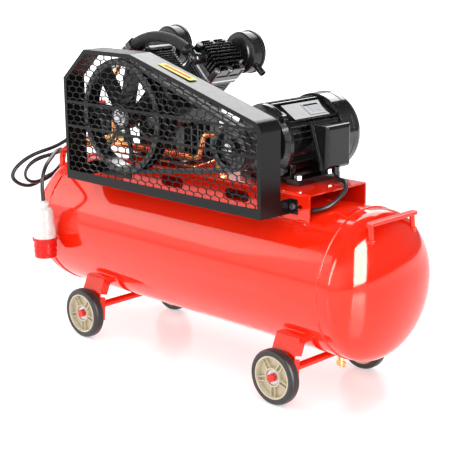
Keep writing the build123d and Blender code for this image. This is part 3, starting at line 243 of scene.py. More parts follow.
FINISHES = {
    "red_paint": dict(
        colour=RED, roughness=0.10, coat=0.25, gloss_tint=(1, 0.88, 0.72), tint=0.05,
        tint_scale=3.0, roughness_spread=0.03, grain=0.12, grain_scale=260.0,
        grain_depth=0.00005, edge=0.0012, wear=(0.9, 0.12, 0.08), wear_amount=0.25),
    "black_paint": dict(
        colour=BLACK, roughness=0.13, coat=0.5, roughness_spread=0.05, grain=0.15,
        grain_scale=300.0, edge=0.0008, wear=WORN_STEEL, wear_amount=0.2),
    "guard_black": dict(
        colour=(0.006, 0.006, 0.0064), roughness=0.24, tint=0.1, tint_scale=4.0,
        roughness_spread=0.03, grain=0.2, grain_scale=1500.0, grain_depth=0.00003, edge=0.0009,
        wear=(0.30, 0.30, 0.29), wear_amount=0.3, specular=0.2),
    "cast_black": dict(
        colour=BLACK, roughness=0.15, coat=0.3, grain=0.5, grain_scale=420.0,
        grain_depth=0.00012, edge=0.0012, wear=WORN_STEEL, wear_amount=0.25),
    "aluminium_black": dict(
        colour=BLACK, roughness=0.12, coat=0.45, grain=0.45, grain_scale=360.0,
        grain_depth=0.0001, edge=0.0010, wear=(0.45, 0.45, 0.44), wear_amount=0.3),
    "tyre": dict(
        colour=(0.012, 0.012, 0.0122), roughness=0.42, tint=0.3, tint_scale=30.0, grain=0.4,
        grain_scale=1400.0, grain_depth=0.00007, edge=0.0004, sheen=0.15),
    "hub_plastic": dict(
        colour=(0.60, 0.53, 0.385), roughness=0.34, tint=0.08, tint_scale=40.0, grain=0.25,
        grain_scale=1100.0, edge=0.0008, wear=(0.62, 0.57, 0.44), wear_amount=0.4),
    "zinc": dict(
        colour=(0.52, 0.52, 0.51), roughness=0.36, metallic=1.0, tint=0.12, tint_scale=120.0,
        grain=0.3, grain_scale=700.0, edge=0.0006),
    "red_bolt": dict(
        colour=(0.75, 0.012, 0.008), roughness=0.22, tint=0.1, tint_scale=60.0, grain=0.3,
        grain_scale=500.0, edge=0.0007, wear=(0.75, 0.25, 0.2), wear_amount=0.4),
    "brass": dict(
        colour=(0.80, 0.56, 0.22), roughness=0.22, metallic=1.0, tint=0.14, tint_scale=70.0,
        grain=0.25, grain_scale=800.0, edge=0.0007, wear=(0.95, 0.8, 0.5), wear_amount=0.5),
    "copper": dict(
        colour=(0.90, 0.36, 0.15), roughness=0.20, metallic=1.0, tint=0.18, tint_scale=45.0,
        grain=0.2, grain_scale=600.0, edge=0.0005),
    "aluminium": dict(
        colour=(0.62, 0.62, 0.62), roughness=0.28, metallic=1.0, tint=0.08, grain=0.3,
        grain_scale=900.0, edge=0.0006),
    "steel": dict(
        colour=(0.56, 0.56, 0.57), roughness=0.20, metallic=1.0, tint=0.1, tint_scale=50.0,
        grain=0.25, grain_scale=900.0, edge=0.0006, stretch=(1, 6, 1)),
    "winding": dict(
        colour=(0.42, 0.20, 0.08), roughness=0.35, metallic=0.6, grain=0.4, grain_scale=600.0,
        extra=laminated),
    "black_plastic": dict(
        colour=(0.008, 0.008, 0.009), roughness=0.14, specular=0.35, tint=0.15, tint_scale=25.0,
        grain=0.3, grain_scale=1300.0, grain_depth=0.00005, edge=0.0015),
    "filter_black": dict(
        colour=(0.009, 0.009, 0.0098), roughness=0.30, tint=0.2, specular=0.4, tint_scale=18.0,
        grain=0.3, grain_scale=1200.0, grain_depth=0.00005, edge=0.0010),
    "foam": dict(
        colour=(0.20, 0.20, 0.18), roughness=0.9, grain=0.5, extra=open_cells),
    "sight_glass": dict(
        colour=(0.85, 0.62, 0.25), roughness=0.06, transmission=0.5, tint_scale=90.0, grain=0.05,
        edge=0.0008),
    "clear_glass": dict(
        colour=(0.95, 0.96, 0.96), roughness=0.03, transmission=0.95, tint=0.02,
        roughness_spread=0.02, grain=0.02, edge=0.0004),
    "belt_rubber": dict(
        colour=(0.011, 0.011, 0.011), roughness=0.55, tint=0.3, tint_scale=60.0, grain=0.6,
        grain_scale=1600.0, grain_depth=0.0001, edge=0.0005, sheen=0.2),
    "label": dict(
        colour=(0.46, 0.47, 0.49), roughness=0.55, specular=0.2, tint=0.06, tint_scale=80.0,
        grain=0.15, grain_scale=1400.0, stretch=(1, 14, 1)),
    "cable": dict(
        colour=(0.015, 0.015, 0.016), roughness=0.38, tint=0.2, tint_scale=40.0, grain=0.35,
        grain_scale=1200.0, grain_depth=0.00006),
    "hose": dict(
        colour=(0.010, 0.010, 0.0105), roughness=0.55, specular=0.35, tint=0.25, tint_scale=60.0,
        grain=0.3, grain_scale=900.0, extra=braided),
    "plug_white": dict(
        colour=(0.74, 0.73, 0.72), roughness=0.28, tint=0.04, tint_scale=40.0, grain=0.2,
        grain_scale=1300.0, edge=0.0010),
    "gauge": dict(
        colour=(0.012, 0.012, 0.013), roughness=0.25, tint=0.15, tint_scale=60.0, grain=0.25,
        grain_scale=1100.0, edge=0.0008),
    "flywheel_cast": dict(
        colour=BLACK, roughness=0.18, coat=0.15, grain=0.4, grain_scale=420.0,
        grain_depth=0.0001, edge=0.0012, wear=WORN_STEEL, wear_amount=0.3,
        extra=machined_hub(FLYWHEEL_CENTRE, HUB_FACE)),
    "plug_red": dict(
        colour=(0.72, 0.006, 0.003), roughness=0.26, specular=0.3, tint=0.06, tint_scale=60.0,
        grain=0.2, grain_scale=1300.0, edge=0.0009),
    "sticker_yellow": dict(
        colour=(0.80, 0.70, 0.24), roughness=0.75, specular=0.1, tint=0.05, tint_scale=60.0,
        grain=0.1, edge=0.0003),
    "sticker_red": dict(
        colour=(0.72, 0.14, 0.09), roughness=0.75, specular=0.1, tint=0.06, tint_scale=60.0,
        grain=0.1, edge=0.0003),
    "dial_white": dict(
        colour=(0.75, 0.75, 0.73), roughness=0.4, tint=0.04, tint_scale=90.0, grain=0.1,
        edge=0.0003),
    "dial_ink": dict(
        colour=(0.01, 0.01, 0.01), roughness=0.8, specular=0.1, tint=0.2, tint_scale=90.0,
        grain=0.1, edge=0.0002),
}
MATERIALS = {name: finish_of(name, **settings) for name, settings in FINISHES.items()}

NODE_MATERIAL = {"flywheel": "flywheel_cast", "crossover_pipe": "hose"}
for node_name, node in NODES.items():
    for material_slot in node.material_slots:
        slot_name = material_slot.material.name.split(".")[0]
        material_slot.material = MATERIALS[NODE_MATERIAL.get(node_name, slot_name)]


# ---------------------------------------------------------------- mesh helpers

SHARP_EDGE = radians(38)


def piece(name, mesh, body, material, smooth=True):
    """Put a mesh in the scene on a moving body and material."""
    obj = bpy.data.objects.new(name, mesh)
    bpy.context.scene.collection.objects.link(obj)
    mesh.materials.append(MATERIALS[material])
    if smooth:
        for polygon in mesh.polygons:
            polygon.use_smooth = True
        mesh.set_sharp_from_angle(angle=SHARP_EDGE)
    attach(obj, body)
    return obj


def mesh_from(name, vertices, faces):
    """A mesh whose faces all look outwards."""
    mesh = bpy.data.meshes.new(name)
    mesh.from_pydata([tuple(v) for v in vertices], [], faces)
    mesh.validate()
    shape = bmesh.new()
    shape.from_mesh(mesh)
    bmesh.ops.recalc_face_normals(shape, faces=shape.faces)
    shape.to_mesh(mesh)
    shape.free()
    return mesh


def lathe_data(profile, place, segments=96):
    """Vertices and faces of a closed (radius, height) profile turned about a matrix's Z."""
    vertices, faces = [], []
    count = len(profile)
    for step in range(segments):
        angle = 2 * pi * step / segments
        for radius, height in profile:
            vertices.append(place @ Vector((radius * cos(angle), radius * sin(angle), height)))
    for step in range(segments):
        after = (step + 1) % segments
        for index in range(count):
            below = (index + 1) % count
            faces.append((step * count + index, after * count + index,
                          after * count + below, step * count + below))
    return vertices, faces


def tube_data(points, radii, sides=14, closed=False):
    """Vertices and faces of a tube through points, with one radius per point."""
    points = [Vector(p) for p in points]
    count = len(points)
    tangents = []
    for index in range(count):
        before = points[index - 1] if closed or index else points[0]
        after = points[(index + 1) % count] if closed or index < count - 1 else points[-1]
        tangents.append((after - before).normalized())
    side = tangents[0].orthogonal().normalized()
    vertices, faces = [], []
    for index, (point, tangent) in enumerate(zip(points, tangents)):
        side = (side - tangent * side.dot(tangent)).normalized()
        other = tangent.cross(side)
        for step in range(sides):
            angle = 2 * pi * step / sides
            vertices.append(point + (side * cos(angle) + other * sin(angle)) * radii[index])
    last = count if closed else count - 1
    for index in range(last):
        after = (index + 1) % count
        for step in range(sides):
            beside = (step + 1) % sides
            faces.append((index * sides + step, index * sides + beside,
                          after * sides + beside, after * sides + step))
    if not closed:
        faces.append(tuple(reversed(range(sides))))
        faces.append(tuple(range((count - 1) * sides, count * sides)))
    return vertices, faces


def joined(parts):
    """One vertex list and one face list from several."""
    vertices, faces = [], []
    for part_vertices, part_faces in parts:
        start = len(vertices)
        vertices += part_vertices
        faces += [tuple(start + i for i in face) for face in part_faces]
    return vertices, faces


def slab_data(place, width, length, thickness, corner, steps=5):
    """A thin plate with rounded corners, on a matrix's XY plane, thickness along its Z."""
    outline = []
    for cx, cy, start in ((1, 1, 0), (-1, 1, 90), (-1, -1, 180), (1, -1, 270)):
        for step in range(steps + 1):
            angle = radians(start + 90 * step / steps)
            outline.append((cx * (width / 2 - corner) + corner * cos(angle),
                            cy * (length / 2 - corner) + corner * sin(angle)))
    count = len(outline)
    vertices = [place @ Vector((x, y, z)) for z in (0, thickness) for x, y in outline]
    faces = [tuple(reversed(range(count))), tuple(range(count, 2 * count))]
    for index in range(count):
        after = (index + 1) % count
        faces.append((index, after, count + after, count + index))
    return vertices, faces


def axes(origin, x_axis, z_axis):
    """A matrix with its X and Z along the given directions."""
    z = Vector(z_axis).normalized()
    x = (Vector(x_axis) - z * Vector(x_axis).dot(z)).normalized()
    y = z.cross(x)
    matrix = Matrix((x, y, z)).transposed().to_4x4()
    matrix.translation = Vector(origin)
    return matrix


# ---------------------------------------------------------------- tyres

TYRE_PROFILE_MM = ((50.4, 1.0), (51.6, 0.4), (53.5, 0.0), (56.4, 0.0), (56.8, 0.5), (57.4, 0.5),
                   (57.8, 0.1), (59.6, 0.3), (61.4, 1.2), (62.9, 2.7), (64.0, 4.6), (64.7, 6.8),
                   (65.0, 9.0), (64.2, 9.3), (64.1, 10.2), (65.0, 10.5), (65.0, 14.0))
TYRE_RADIUS_MM = 65.0


def tyre_piece(corner):
    """A tyre with sidewall steps and tread grooves; the profile is its near half."""
    node = "tyre_" + corner
    low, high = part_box(node)
    centre = (low + high) / 2
    width = high.y - low.y
    radius_scale = (high.z - low.z) / 2 / TYRE_RADIUS_MM
    half = [(r * radius_scale, z * MM) for r, z in TYRE_PROFILE_MM]
    far = [(r, width - z) for r, z in reversed(half[:-1])]
    place = axes((centre.x, high.y, centre.z), (1, 0, 0), (0, -1, 0))
    data = lathe_data(half + far, place, segments=128)
    made = piece("rubber_" + corner, mesh_from(node, *data), "wheel_" + corner, "tyre")
    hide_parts(node)


for wheel in CORNERS:
    tyre_piece(wheel)


# ---------------------------------------------------------------- guard sticker

GUARD_CREST = 0.253           # from the guard's control end to the top of its slope
GUARD_FALL = 0.119            # how far the slope drops
STICKER_SHARE = 0.285         # the sticker's place down the slope
STICKER_INSET = 0.036         # its centre line behind the guard's face
STICKER_GAP = 0.0001          # clearance over the metal
# Width, length, thickness and corner radius.
STICKER_SIZE = (0.112, 0.024, 0.0005, 0.003)
BAND_SIZE = (0.088, 0.0075, 0.0003, 0.001)
BAND_SEAT = (0, 0.0005, 0.0004)


def sticker():
    """A blank two-colour label on the guard's slope."""
    low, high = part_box("guard_frame")
    slope_top = Vector((low.x + GUARD_CREST, 0, high.z))
    slope_end = Vector((high.x, 0, high.z - GUARD_FALL))
    run = slope_end - slope_top
    normal = Vector((-run.z, 0, run.x)).normalized()
    centre = slope_top + run * STICKER_SHARE + normal * STICKER_GAP
    centre.y = low.y + STICKER_INSET
    place = axes(centre, run, normal)
    plate = slab_data(place, *STICKER_SIZE)
    piece("guard_sticker", mesh_from("guard_sticker", *plate), "machine",
          "sticker_yellow")
    band = slab_data(place @ Matrix.Translation(BAND_SEAT), *BAND_SIZE)
    piece("guard_sticker_band", mesh_from("guard_sticker_band", *band), "machine",
          "sticker_red")


sticker()


# ---------------------------------------------------------------- power plug

def fluted(vertices, centre, low, high, count, depth):
    """Press shallow grooves along Z into the vertices between two heights."""
    for index, vertex in enumerate(vertices):
        if low < vertex.z < high:
            away = Vector((vertex.x - centre.x, vertex.y - centre.y, 0))
            angle = atan2(away.y, away.x)
            pressed = depth * max(0.0, cos(count * angle)) ** 2
            vertices[index] = vertex - away.normalized() * pressed


PLUG_BODY_MM = ((0, 149), (7.4, 149), (8.6, 148), (8.8, 145), (12.6, 145), (13.8, 143.6),
                (14.2, 141), (14.4, 131.5), (16.2, 131), (19.6, 128), (22, 124), (23.4, 119),
                (24.6, 111), (25.2, 107), (25.4, 103), (25.4, 88.5), (26, 86), (27, 84.4),
                (27, 82), (27.6, 79), (28.6, 60), (29, 52), (29, 51.2), (0, 51.2))
PLUG_COLLAR_MM = ((26.2, 50.8), (32.4, 50.8), (33, 50.2), (33, 46.4), (32.4, 45.2), (30.2, 43.6),
                  (29.5, 41), (29.3, 32), (30.2, 31.2), (30.2, 28.4), (29.2, 27.6), (29, 17),
                  (29.8, 16.2), (29.8, 13.6), (28.9, 12.8), (28.6, 3), (28.2, 0.6), (27.5, 0),
                  (26.4, 0), (25.7, 0.8), (26.2, 40))
PIN_MM = ((0, 15), (1.5, 15), (2.3, 16.2), (2.5, 18), (2.5, 51.1), (0, 51.1))
PIN_COUNT = 5
PIN_CIRCLE = 0.015
GLAND_NUT = (0.1318, 0.1441)  # heights above the plug's mouth between which each is grooved
HAND_GRIP = (0.0515, 0.0815)


def plug_pieces():
    low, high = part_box("power_plug")
    centre = Vector(((low.x + high.x) / 2, (low.y + high.y) / 2, low.z))
    standing = Matrix.Translation(centre)

    def turned(profile, place, segments):
        return lathe_data([(r * MM, z * MM) for r, z in profile], place, segments)

    body = turned(PLUG_BODY_MM, standing, 120)
    for (bottom, top), count, depth in ((GLAND_NUT, 10, 0.0014), (HAND_GRIP, 30, 0.0007)):
        fluted(body[0], centre, low.z + bottom, low.z + top, count, depth)
    made = piece("plug_body", mesh_from("plug_body", *body), "machine", "plug_white")
    collar = turned(PLUG_COLLAR_MM, standing, 96)
    piece("plug_collar", mesh_from("plug_collar", *collar), "machine", "plug_red")
    pins = []
    for step in range(PIN_COUNT):
        angle = 2 * pi * step / PIN_COUNT
        seat = Matrix.Translation((PIN_CIRCLE * cos(angle), PIN_CIRCLE * sin(angle), 0))
        pins.append(turned(PIN_MM, standing @ seat, 20))
    piece("plug_pins", mesh_from("plug_pins", *joined(pins)), "machine", "brass")
    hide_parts("power_plug")


plug_pieces()


# ---------------------------------------------------------------- gauge dials

DIAL_SWEEP = radians(270)
DIAL_TOP = 12
DIAL_INK = 0.00006
INK_CORNER = 0.0001
DIAL_FACE = 0.0004            # thickness of the dial
DIAL_BEVEL = 0.0001
RIM_GAP = 0.0012              # between the ticks and the dial's edge
LONG_TICK = (0.0005, 0.0024)
SHORT_TICK = (0.0003, 0.0014)
FIGURE_INSET = 0.0057
FIGURE_HEIGHT = 0.0036
INK_SEAT = 0.00042
FIGURE_SEAT = 0.00048
NEEDLE_TO_DIAL = 0.00095      # from the needle's open side to the back of the dial
TANK_DIAL_RADIUS = 0.0183
LINE_DIAL_RADIUS = 0.0173


def number_data(text, place, height):
    """Flat figures in the plane of a matrix, centred on its origin."""
    curve = bpy.data.curves.new("figures", "FONT")
    curve.body = text
    curve.size = height
    curve.align_x = "CENTER"
    curve.align_y = "CENTER"
    curve.extrude = DIAL_INK
    curve.resolution_u = 3
    figures = bpy.data.objects.new("figures", curve)
    bpy.context.scene.collection.objects.link(figures)
    settled = figures.evaluated_get(bpy.context.evaluated_depsgraph_get())
    mesh = bpy.data.meshes.new_from_object(settled)
    vertices = [place @ v.co for v in mesh.vertices]
    faces = [tuple(polygon.vertices) for polygon in mesh.polygons]
    bpy.data.objects.remove(figures)
    bpy.data.curves.remove(curve)
    bpy.data.meshes.remove(mesh)
    return vertices, faces


def dial_scale(place, radius):
    """Ticks round a dial, long at each whole number, with a figure at each even one."""
    ink = []
    for step in range(2 * DIAL_TOP + 1):
        angle = DIAL_SWEEP / 2 - DIAL_SWEEP * step / (2 * DIAL_TOP)
        turned = place @ Matrix.Rotation(angle, 4, "Z")
        width, length = LONG_TICK if step % 2 == 0 else SHORT_TICK
        seat = turned @ Matrix.Translation((0, radius - RIM_GAP - length / 2, INK_SEAT))
        ink.append(slab_data(seat, width, length, DIAL_INK, INK_CORNER, 1))
        if step % 4 == 0:
            spot = turned @ Matrix.Translation((0, radius - FIGURE_INSET, FIGURE_SEAT))
            upright = spot @ Matrix.Rotation(-angle, 4, "Z")
            ink.append(number_data(str(step // 2), upright, FIGURE_HEIGHT))
    return joined(ink)


def gauge_pieces(name, centre, right, outward, radius):
    """A printed dial and its glass, seen along -outward."""
    place = axes(centre, right, outward)
    disc = [(0, 0), (radius, 0), (radius, DIAL_FACE - DIAL_BEVEL),
            (radius - 2 * DIAL_BEVEL, DIAL_FACE), (0, DIAL_FACE)]
    piece(name + "_dial", mesh_from(name + "_dial", *lathe_data(disc, place, 64)),
          "machine", "dial_white")
    piece(name + "_scale", mesh_from(name + "_scale", *dial_scale(place, radius)), "machine",
          "dial_ink", smooth=False)
    glass = [(0, 0.0043), (radius, 0.0040), (radius, 0.0047), (radius * 0.7, 0.0053), (0, 0.0056)]
    piece(name + "_glass", mesh_from(name + "_glass", *lathe_data(glass, place, 64)),
          "machine", "clear_glass")


def gauges():
    joints = {joint["name"]: joint for joint in frame["record"]["behaviour"]["joints"]}
    tank = Vector(joints["tank_needle_turn"]["pos_m"])
    tank.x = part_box("gauge_needle_tank")[1].x + NEEDLE_TO_DIAL
    gauge_pieces("tank_gauge", tank, (0, -1, 0), (-1, 0, 0), TANK_DIAL_RADIUS)
    line = Vector(joints["line_needle_turn"]["pos_m"])
    line.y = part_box("gauge_needle_line")[0].y - NEEDLE_TO_DIAL
    gauge_pieces("line_gauge", line, (-1, 0, 0), (0, 1, 0), LINE_DIAL_RADIUS)


gauges()


# ---------------------------------------------------------------- motor nameplate

PLATE_TILT = radians(58)
PLATE_THICK = 0.001
PRINT_SEAT = 0.00002
HEADER_SIZE, HEADER_UP = (0.050, 0.0055), 0.0135
RULE_SIZE, RULE_TOP, RULE_PITCH, RULE_COUNT = (0.046, 0.00035), 0.0085, 0.0042, 6
COLUMN_SIZE, COLUMN_X, COLUMN_Y = (0.00035, 0.021), 0.0115, -0.002
RIVET_X, RIVET_Y = 0.0255, 0.0165
RIVET_MM = ((0, 0), (1.4, 0), (1.4, 0.2), (1.1, 0.6), (0.5, 0.9), (0, 0.95))


def nameplate_pieces():
    """A heading bar, ruled lines and two columns with nothing written in them, and four rivets."""
    low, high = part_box("motor_nameplate")
    normal = Vector((cos(PLATE_TILT), 0, sin(PLATE_TILT)))
    centre = (low + high) / 2 + normal * PLATE_THICK / 2
    place = axes(centre, (0, 1, 0), normal)

    def printed_bar(x, y, size, corner=INK_CORNER, steps=1):
        seat = place @ Matrix.Translation((x, y, PRINT_SEAT))
        return slab_data(seat, *size, DIAL_INK, corner, steps)

    printed = [printed_bar(0, HEADER_UP, HEADER_SIZE, 0.0006, 3)]
    printed += [printed_bar(0, RULE_TOP - RULE_PITCH * line, RULE_SIZE)
                for line in range(RULE_COUNT)]
    printed += [printed_bar(x, COLUMN_Y, COLUMN_SIZE) for x in (-COLUMN_X, COLUMN_X)]
    piece("nameplate_print", mesh_from("nameplate_print", *joined(printed)), "machine",
          "dial_ink", smooth=False)
    dome = [(r * MM, z * MM) for r, z in RIVET_MM]
    rivets = [lathe_data(dome, place @ Matrix.Translation((x, y, 0)), 20)
              for x in (-RIVET_X, RIVET_X) for y in (-RIVET_Y, RIVET_Y)]
    piece("nameplate_rivets", mesh_from("nameplate_rivets", *joined(rivets)), "machine",
          "zinc")


nameplate_pieces()


# ---------------------------------------------------------------- weld beads

RIPPLE_PITCH = 0.0033
BEAD_STEP = 0.0011
RING_STEP = 0.0009
BLUNT_END = 0.35              # a bead's radius at its very end, as a share of the full one
END_GROWTH = 4.5              # how fast a bead grows from its end to its full radius

STITCH_LENGTH = 0.034
STITCH_PITCH = 0.0725
STITCH_INSET = 0.006
STITCH_UP = 0.0006
STITCH_RADIUS = 0.0030

# The tank and its legs, from the floor under the tank's middle.
TANK_RADIUS = 0.172
TANK_AXIS_Z = 0.276
END_KNUCKLE = 0.491
END_DEPTH = 0.086
BRACKET_BEAD_X = (-0.024, 0.038)
BRACKET_BEAD_Y = 0.1202
BRACKET_BEAD_Z = 0.1532
BRACKET_BEAD_RADIUS = 0.0032
LEG_BEAD_THICKNESS = 0.0028
# Each handle's leg: its top, its run down to the tank end, half its spread, its bead's radius.
RIGHT_LEG = (Vector((0.534, 0, 0.434)), Vector((0.005, 0, -0.042)), 0.073, 0.0066)
LEFT_LEG = (Vector((-0.519, 0, 0.460)), Vector((0, 0, -0.080)), 0.072, 0.0086)


def bead(start, end, radius):
    """A weld bead with the ripples that a hand-run torch leaves."""
    start, end = Vector(start), Vector(end)
    length = (end - start).length
    steps = max(8, int(length / BEAD_STEP))
    points, radii = [], []
    for index in range(steps + 1):
        share = index / steps
        ripple = 0.5 + 0.5 * cos(2 * pi * share * length / RIPPLE_PITCH)
        taper = min(1.0, END_GROWTH * share + BLUNT_END, END_GROWTH * (1 - share) + BLUNT_END)
        points.append(start.lerp(end, share))
        radii.append(radius * taper * (0.84 + 0.16 * ripple))
    return tube_data(points, radii, 12)


def ring_bead(centre, axis, radius, thickness):
    """A rippled weld bead round a leg."""
    centre, axis = Vector(centre), Vector(axis).normalized()
    side = axis.orthogonal().normalized()
    other = axis.cross(side)
    steps = max(24, int(2 * pi * radius / RING_STEP))
    ripples = int(radius * 2 * pi / RIPPLE_PITCH)
    points, radii = [], []
    for index in range(steps):
        angle = 2 * pi * index / steps
        points.append(centre + (side * cos(angle) + other * sin(angle)) * radius)
        radii.append(thickness * (0.86 + 0.14 * cos(angle * ripples)))
    return tube_data(points, radii, 10, closed=True)


def platform_welds():
    """Short beads in a row along both feet of the platform."""
    low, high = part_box("machine_platform")
    z = low.z + STITCH_UP
    beads = []
    for y in (low.y, high.y):
        x = low.x + STITCH_INSET
        while x + STITCH_LENGTH < high.x:
            beads.append(bead((x, y, z), (x + STITCH_LENGTH, y, z), STITCH_RADIUS))
            x += STITCH_PITCH
    piece("platform_welds", mesh_from("platform_welds", *joined(beads)), "machine",
          "red_paint")


def on_tank_end(start, run):
    """Where a leg going down along run first meets the domed tank end."""
    for step in range(400):
        point = start + run * (step / 400)
        off = max(0.0, abs(point.x) - END_KNUCKLE) / END_DEPTH
        across = Vector((point.y, point.z - TANK_AXIS_Z)).length / TANK_RADIUS
        if off * off + across * across <= 1:
            return point
    return start + run


def bracket_and_handle_welds():
    beads = []
    for corner in CORNERS:
        low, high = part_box("hub_" + corner)
        x = (low.x + high.x) / 2
        y = HOME.y + (BRACKET_BEAD_Y if "rear" in corner else -BRACKET_BEAD_Y)
        start, end = [(x + reach, y, BRACKET_BEAD_Z) for reach in BRACKET_BEAD_X]
        beads.append(bead(start, end, BRACKET_BEAD_RADIUS))
    for side in (-1, 1):
        for top, run, spread, radius in (RIGHT_LEG, LEFT_LEG):
            foot = on_tank_end(top + Vector((0, side * spread, 0)), run)
            beads.append(ring_bead(HOME + foot, run, radius, LEG_BEAD_THICKNESS))
    piece("bracket_handle_welds", mesh_from("bracket_handle_welds", *joined(beads)), "machine",
          "red_paint")


platform_welds()
bracket_and_handle_welds()


# ---------------------------------------------------------------- studio

def softbox(name, aim, azimuth, elevation, distance, width, height, radiance,
            lights=True, mirrored=True):
    """A rectangular lamp facing a point; azimuth 0 is -Y and 90 is +X."""
    a, e = radians(azimuth), radians(elevation)
    away = Vector((sin(a) * cos(e), -cos(a) * cos(e), sin(e)))
    lamp = bpy.data.lights.new(name, "AREA")
    lamp.shape = "RECTANGLE"
    lamp.size = width
    lamp.size_y = height
    lamp.energy = radiance * pi * width * height
    obj = bpy.data.objects.new(name, lamp)
    obj.location = HOME + Vector(aim) + away * distance
    obj.rotation_mode = "QUATERNION"
    obj.rotation_quaternion = away.to_track_quat("Z", "Y")
    obj.visible_camera = False
    obj.visible_diffuse = lights
    obj.visible_glossy = mirrored
    bpy.context.scene.collection.objects.link(obj)


# The room as the paint mirrors it: brightness at shares of the way from straight down to
# straight up, and how much stronger it is ahead of the machine than behind it.
ROOM_STOPS = ((0.0, 1.6), (0.47, 1.6), (0.50, 0.9), (0.55, 1.5), (0.70, 1.6), (0.82, 0.25),
              (1.0, 0.2))
ROOM_PEAK = 2.0
ROOM_AHEAD = (-0.6, -0.8, 0.0)
ROOM_SIDES = {"From Min": -0.5, "From Max": 0.4, "To Min": 0.45, "To Max": ROOM_PEAK}
BACKDROP = 1.05
WHITE = (1, 1, 1, 1)


def studio_world():
    world = bpy.data.worlds.new("studio")
    bpy.context.scene.world = world
    world.use_nodes = True
    tree = world.node_tree
    tree.nodes.clear()
    link = tree.links.new
    coords = tree.nodes.new("ShaderNodeTexCoord")
    split = tree.nodes.new("ShaderNodeSeparateXYZ")
    link(coords.outputs["Generated"], split.inputs[0])
    height = tree.nodes.new("ShaderNodeMapRange")
    height.inputs["From Min"].default_value = -1.0
    link(split.outputs["Z"], height.inputs["Value"])
    ramp = tree.nodes.new("ShaderNodeValToRGB")
    elements = ramp.color_ramp.elements
    while len(elements) < len(ROOM_STOPS):
        elements.new(0.5)
    for element, (position, level) in zip(elements, ROOM_STOPS):
        element.position = position
        element.color = (level / ROOM_PEAK, level / ROOM_PEAK, level / ROOM_PEAK, 1)
    link(height.outputs[0], ramp.inputs[0])
    ahead = tree.nodes.new("ShaderNodeVectorMath")
    ahead.operation = "DOT_PRODUCT"
    ahead.inputs[1].default_value = ROOM_AHEAD
    link(coords.outputs["Generated"], ahead.inputs[0])
    side = tree.nodes.new("ShaderNodeMapRange")
    for key, number in ROOM_SIDES.items():
        side.inputs[key].default_value = number
    link(ahead.outputs["Value"], side.inputs["Value"])
    lit = tree.nodes.new("ShaderNodeBackground")
    link(ramp.outputs["Color"], lit.inputs["Color"])
    link(side.outputs[0], lit.inputs["Strength"])
    seen = tree.nodes.new("ShaderNodeBackground")
    seen.inputs["Color"].default_value = WHITE
    seen.inputs["Strength"].default_value = BACKDROP
    path = tree.nodes.new("ShaderNodeLightPath")
    mix = tree.nodes.new("ShaderNodeMixShader")
    link(path.outputs["Is Camera Ray"], mix.inputs[0])
    link(lit.outputs[0], mix.inputs[1])
    link(seen.outputs[0], mix.inputs[2])
    out = tree.nodes.new("ShaderNodeOutputWorld")
    link(mix.outputs[0], out.inputs["Surface"])


FLOOR_HALF = 7.0
FLOOR_GREY = (0.80, 0.80, 0.80, 1)
FLOOR_GLOSS = (0.12, 0.2)
FLOOR_LIFT = 0.5
FLOOR_GLOW = 1.6
FLOOR_FADE = (1.6, 3.2)       # distances between which the floor fades into the backdrop


def glowing(g, strength):
    glow = g.node("ShaderNodeEmission")
    glow.inputs["Color"].default_value = WHITE
    glow.inputs["Strength"].default_value = strength
    return glow.outputs[0]


def studio_floor():
    """A pale glossy floor that glows away to nothing at its far edges."""
    sheet = [(x * FLOOR_HALF, y * FLOOR_HALF, 0) for x, y in ((-1, -1), (1, -1), (1, 1), (-1, 1))]
    mesh = mesh_from("floor", sheet, [(0, 1, 2, 3)])
    floor = bpy.data.objects.new("floor", mesh)
    bpy.context.scene.collection.objects.link(floor)
    g = Graph("floor")
    shader = g.node("ShaderNodeBsdfPrincipled")
    shader.inputs["Base Color"].default_value = FLOOR_GREY
    g.feed(shader.inputs["Roughness"], g.spread(g.noise(3.0, 4.0), *FLOOR_GLOSS))
    lifted = g.node("ShaderNodeAddShader")
    g.feed(lifted.inputs[0], shader.outputs[0])
    g.feed(lifted.inputs[1], glowing(g, FLOOR_LIFT))
    reach = g.vector("LENGTH", g.coords).outputs["Value"]
    mix = g.node("ShaderNodeMixShader")
    g.feed(mix.inputs[0], g.spread(reach, 0.0, 1.0, *FLOOR_FADE))
    g.feed(mix.inputs[1], lifted.outputs[0])
    g.feed(mix.inputs[2], glowing(g, FLOOR_GLOW))
    out = g.node("ShaderNodeOutputMaterial")
    g.feed(out.inputs["Surface"], mix.outputs[0])
    mesh.materials.append(g.material)


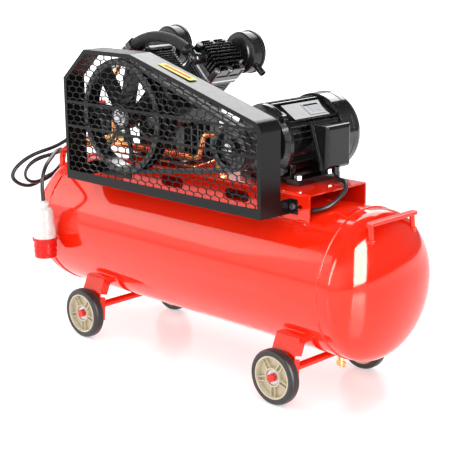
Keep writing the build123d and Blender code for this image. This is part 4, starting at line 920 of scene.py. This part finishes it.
CAMERA_AT = (2.1049, -2.0780, 1.0723)
CAMERA_YAW, CAMERA_PITCH, CAMERA_ROLL = 45.0, 14.1, -0.6
CAMERA_LENS = 98.66


def studio_camera():
    yaw, pitch, roll = radians(CAMERA_YAW), radians(CAMERA_PITCH), radians(CAMERA_ROLL)
    ahead = Vector((-sin(yaw) * cos(pitch), cos(yaw) * cos(pitch), -sin(pitch)))
    right = Vector((cos(yaw), sin(yaw), 0))
    up = right.cross(ahead)
    tilted_right = right * cos(roll) + up * sin(roll)
    tilted_up = up * cos(roll) - right * sin(roll)
    turn = Matrix((tilted_right, tilted_up, -ahead)).transposed()
    camera = bpy.data.cameras.new("camera")
    camera.sensor_width = 36.0
    camera.lens = CAMERA_LENS
    obj = bpy.data.objects.new("camera", camera)
    obj.matrix_world = Matrix.Translation(HOME + Vector(CAMERA_AT)) @ turn.to_4x4()
    bpy.context.scene.collection.objects.link(obj)
    bpy.context.scene.camera = obj


SOFTBOXES = (
    dict(name="window", aim=(0.52, -0.11, 0.35), azimuth=83, elevation=25, distance=3.4,
         width=1.4, height=3.3, radiance=22.0, lights=False),
    dict(name="strip", aim=(0.50, -0.15, 0.33), azimuth=-13.5, elevation=24, distance=3.6,
         width=0.55, height=2.2, radiance=13.0, lights=False),
    dict(name="back", aim=(0.10, -0.15, 0.70), azimuth=213.4, elevation=36, distance=3.6,
         width=3.0, height=2.4, radiance=4.8, lights=False),
    dict(name="left", aim=(-0.2, -0.15, 0.50), azimuth=-60, elevation=25, distance=4.0,
         width=3.0, height=2.0, radiance=1.5),
    dict(name="right", aim=(0.3, 0.0, 0.40), azimuth=60, elevation=40, distance=4.0,
         width=2.6, height=2.6, radiance=2.5, mirrored=False),
    dict(name="above", aim=(0.0, 0.0, 0.40), azimuth=0, elevation=90, distance=3.6,
         width=4.2, height=4.2, radiance=2.6, mirrored=False),
)

studio_world()
studio_floor()
studio_camera()
for settings in SOFTBOXES:
    softbox(**settings)
bpy.context.scene.view_settings.view_transform = "Standard"
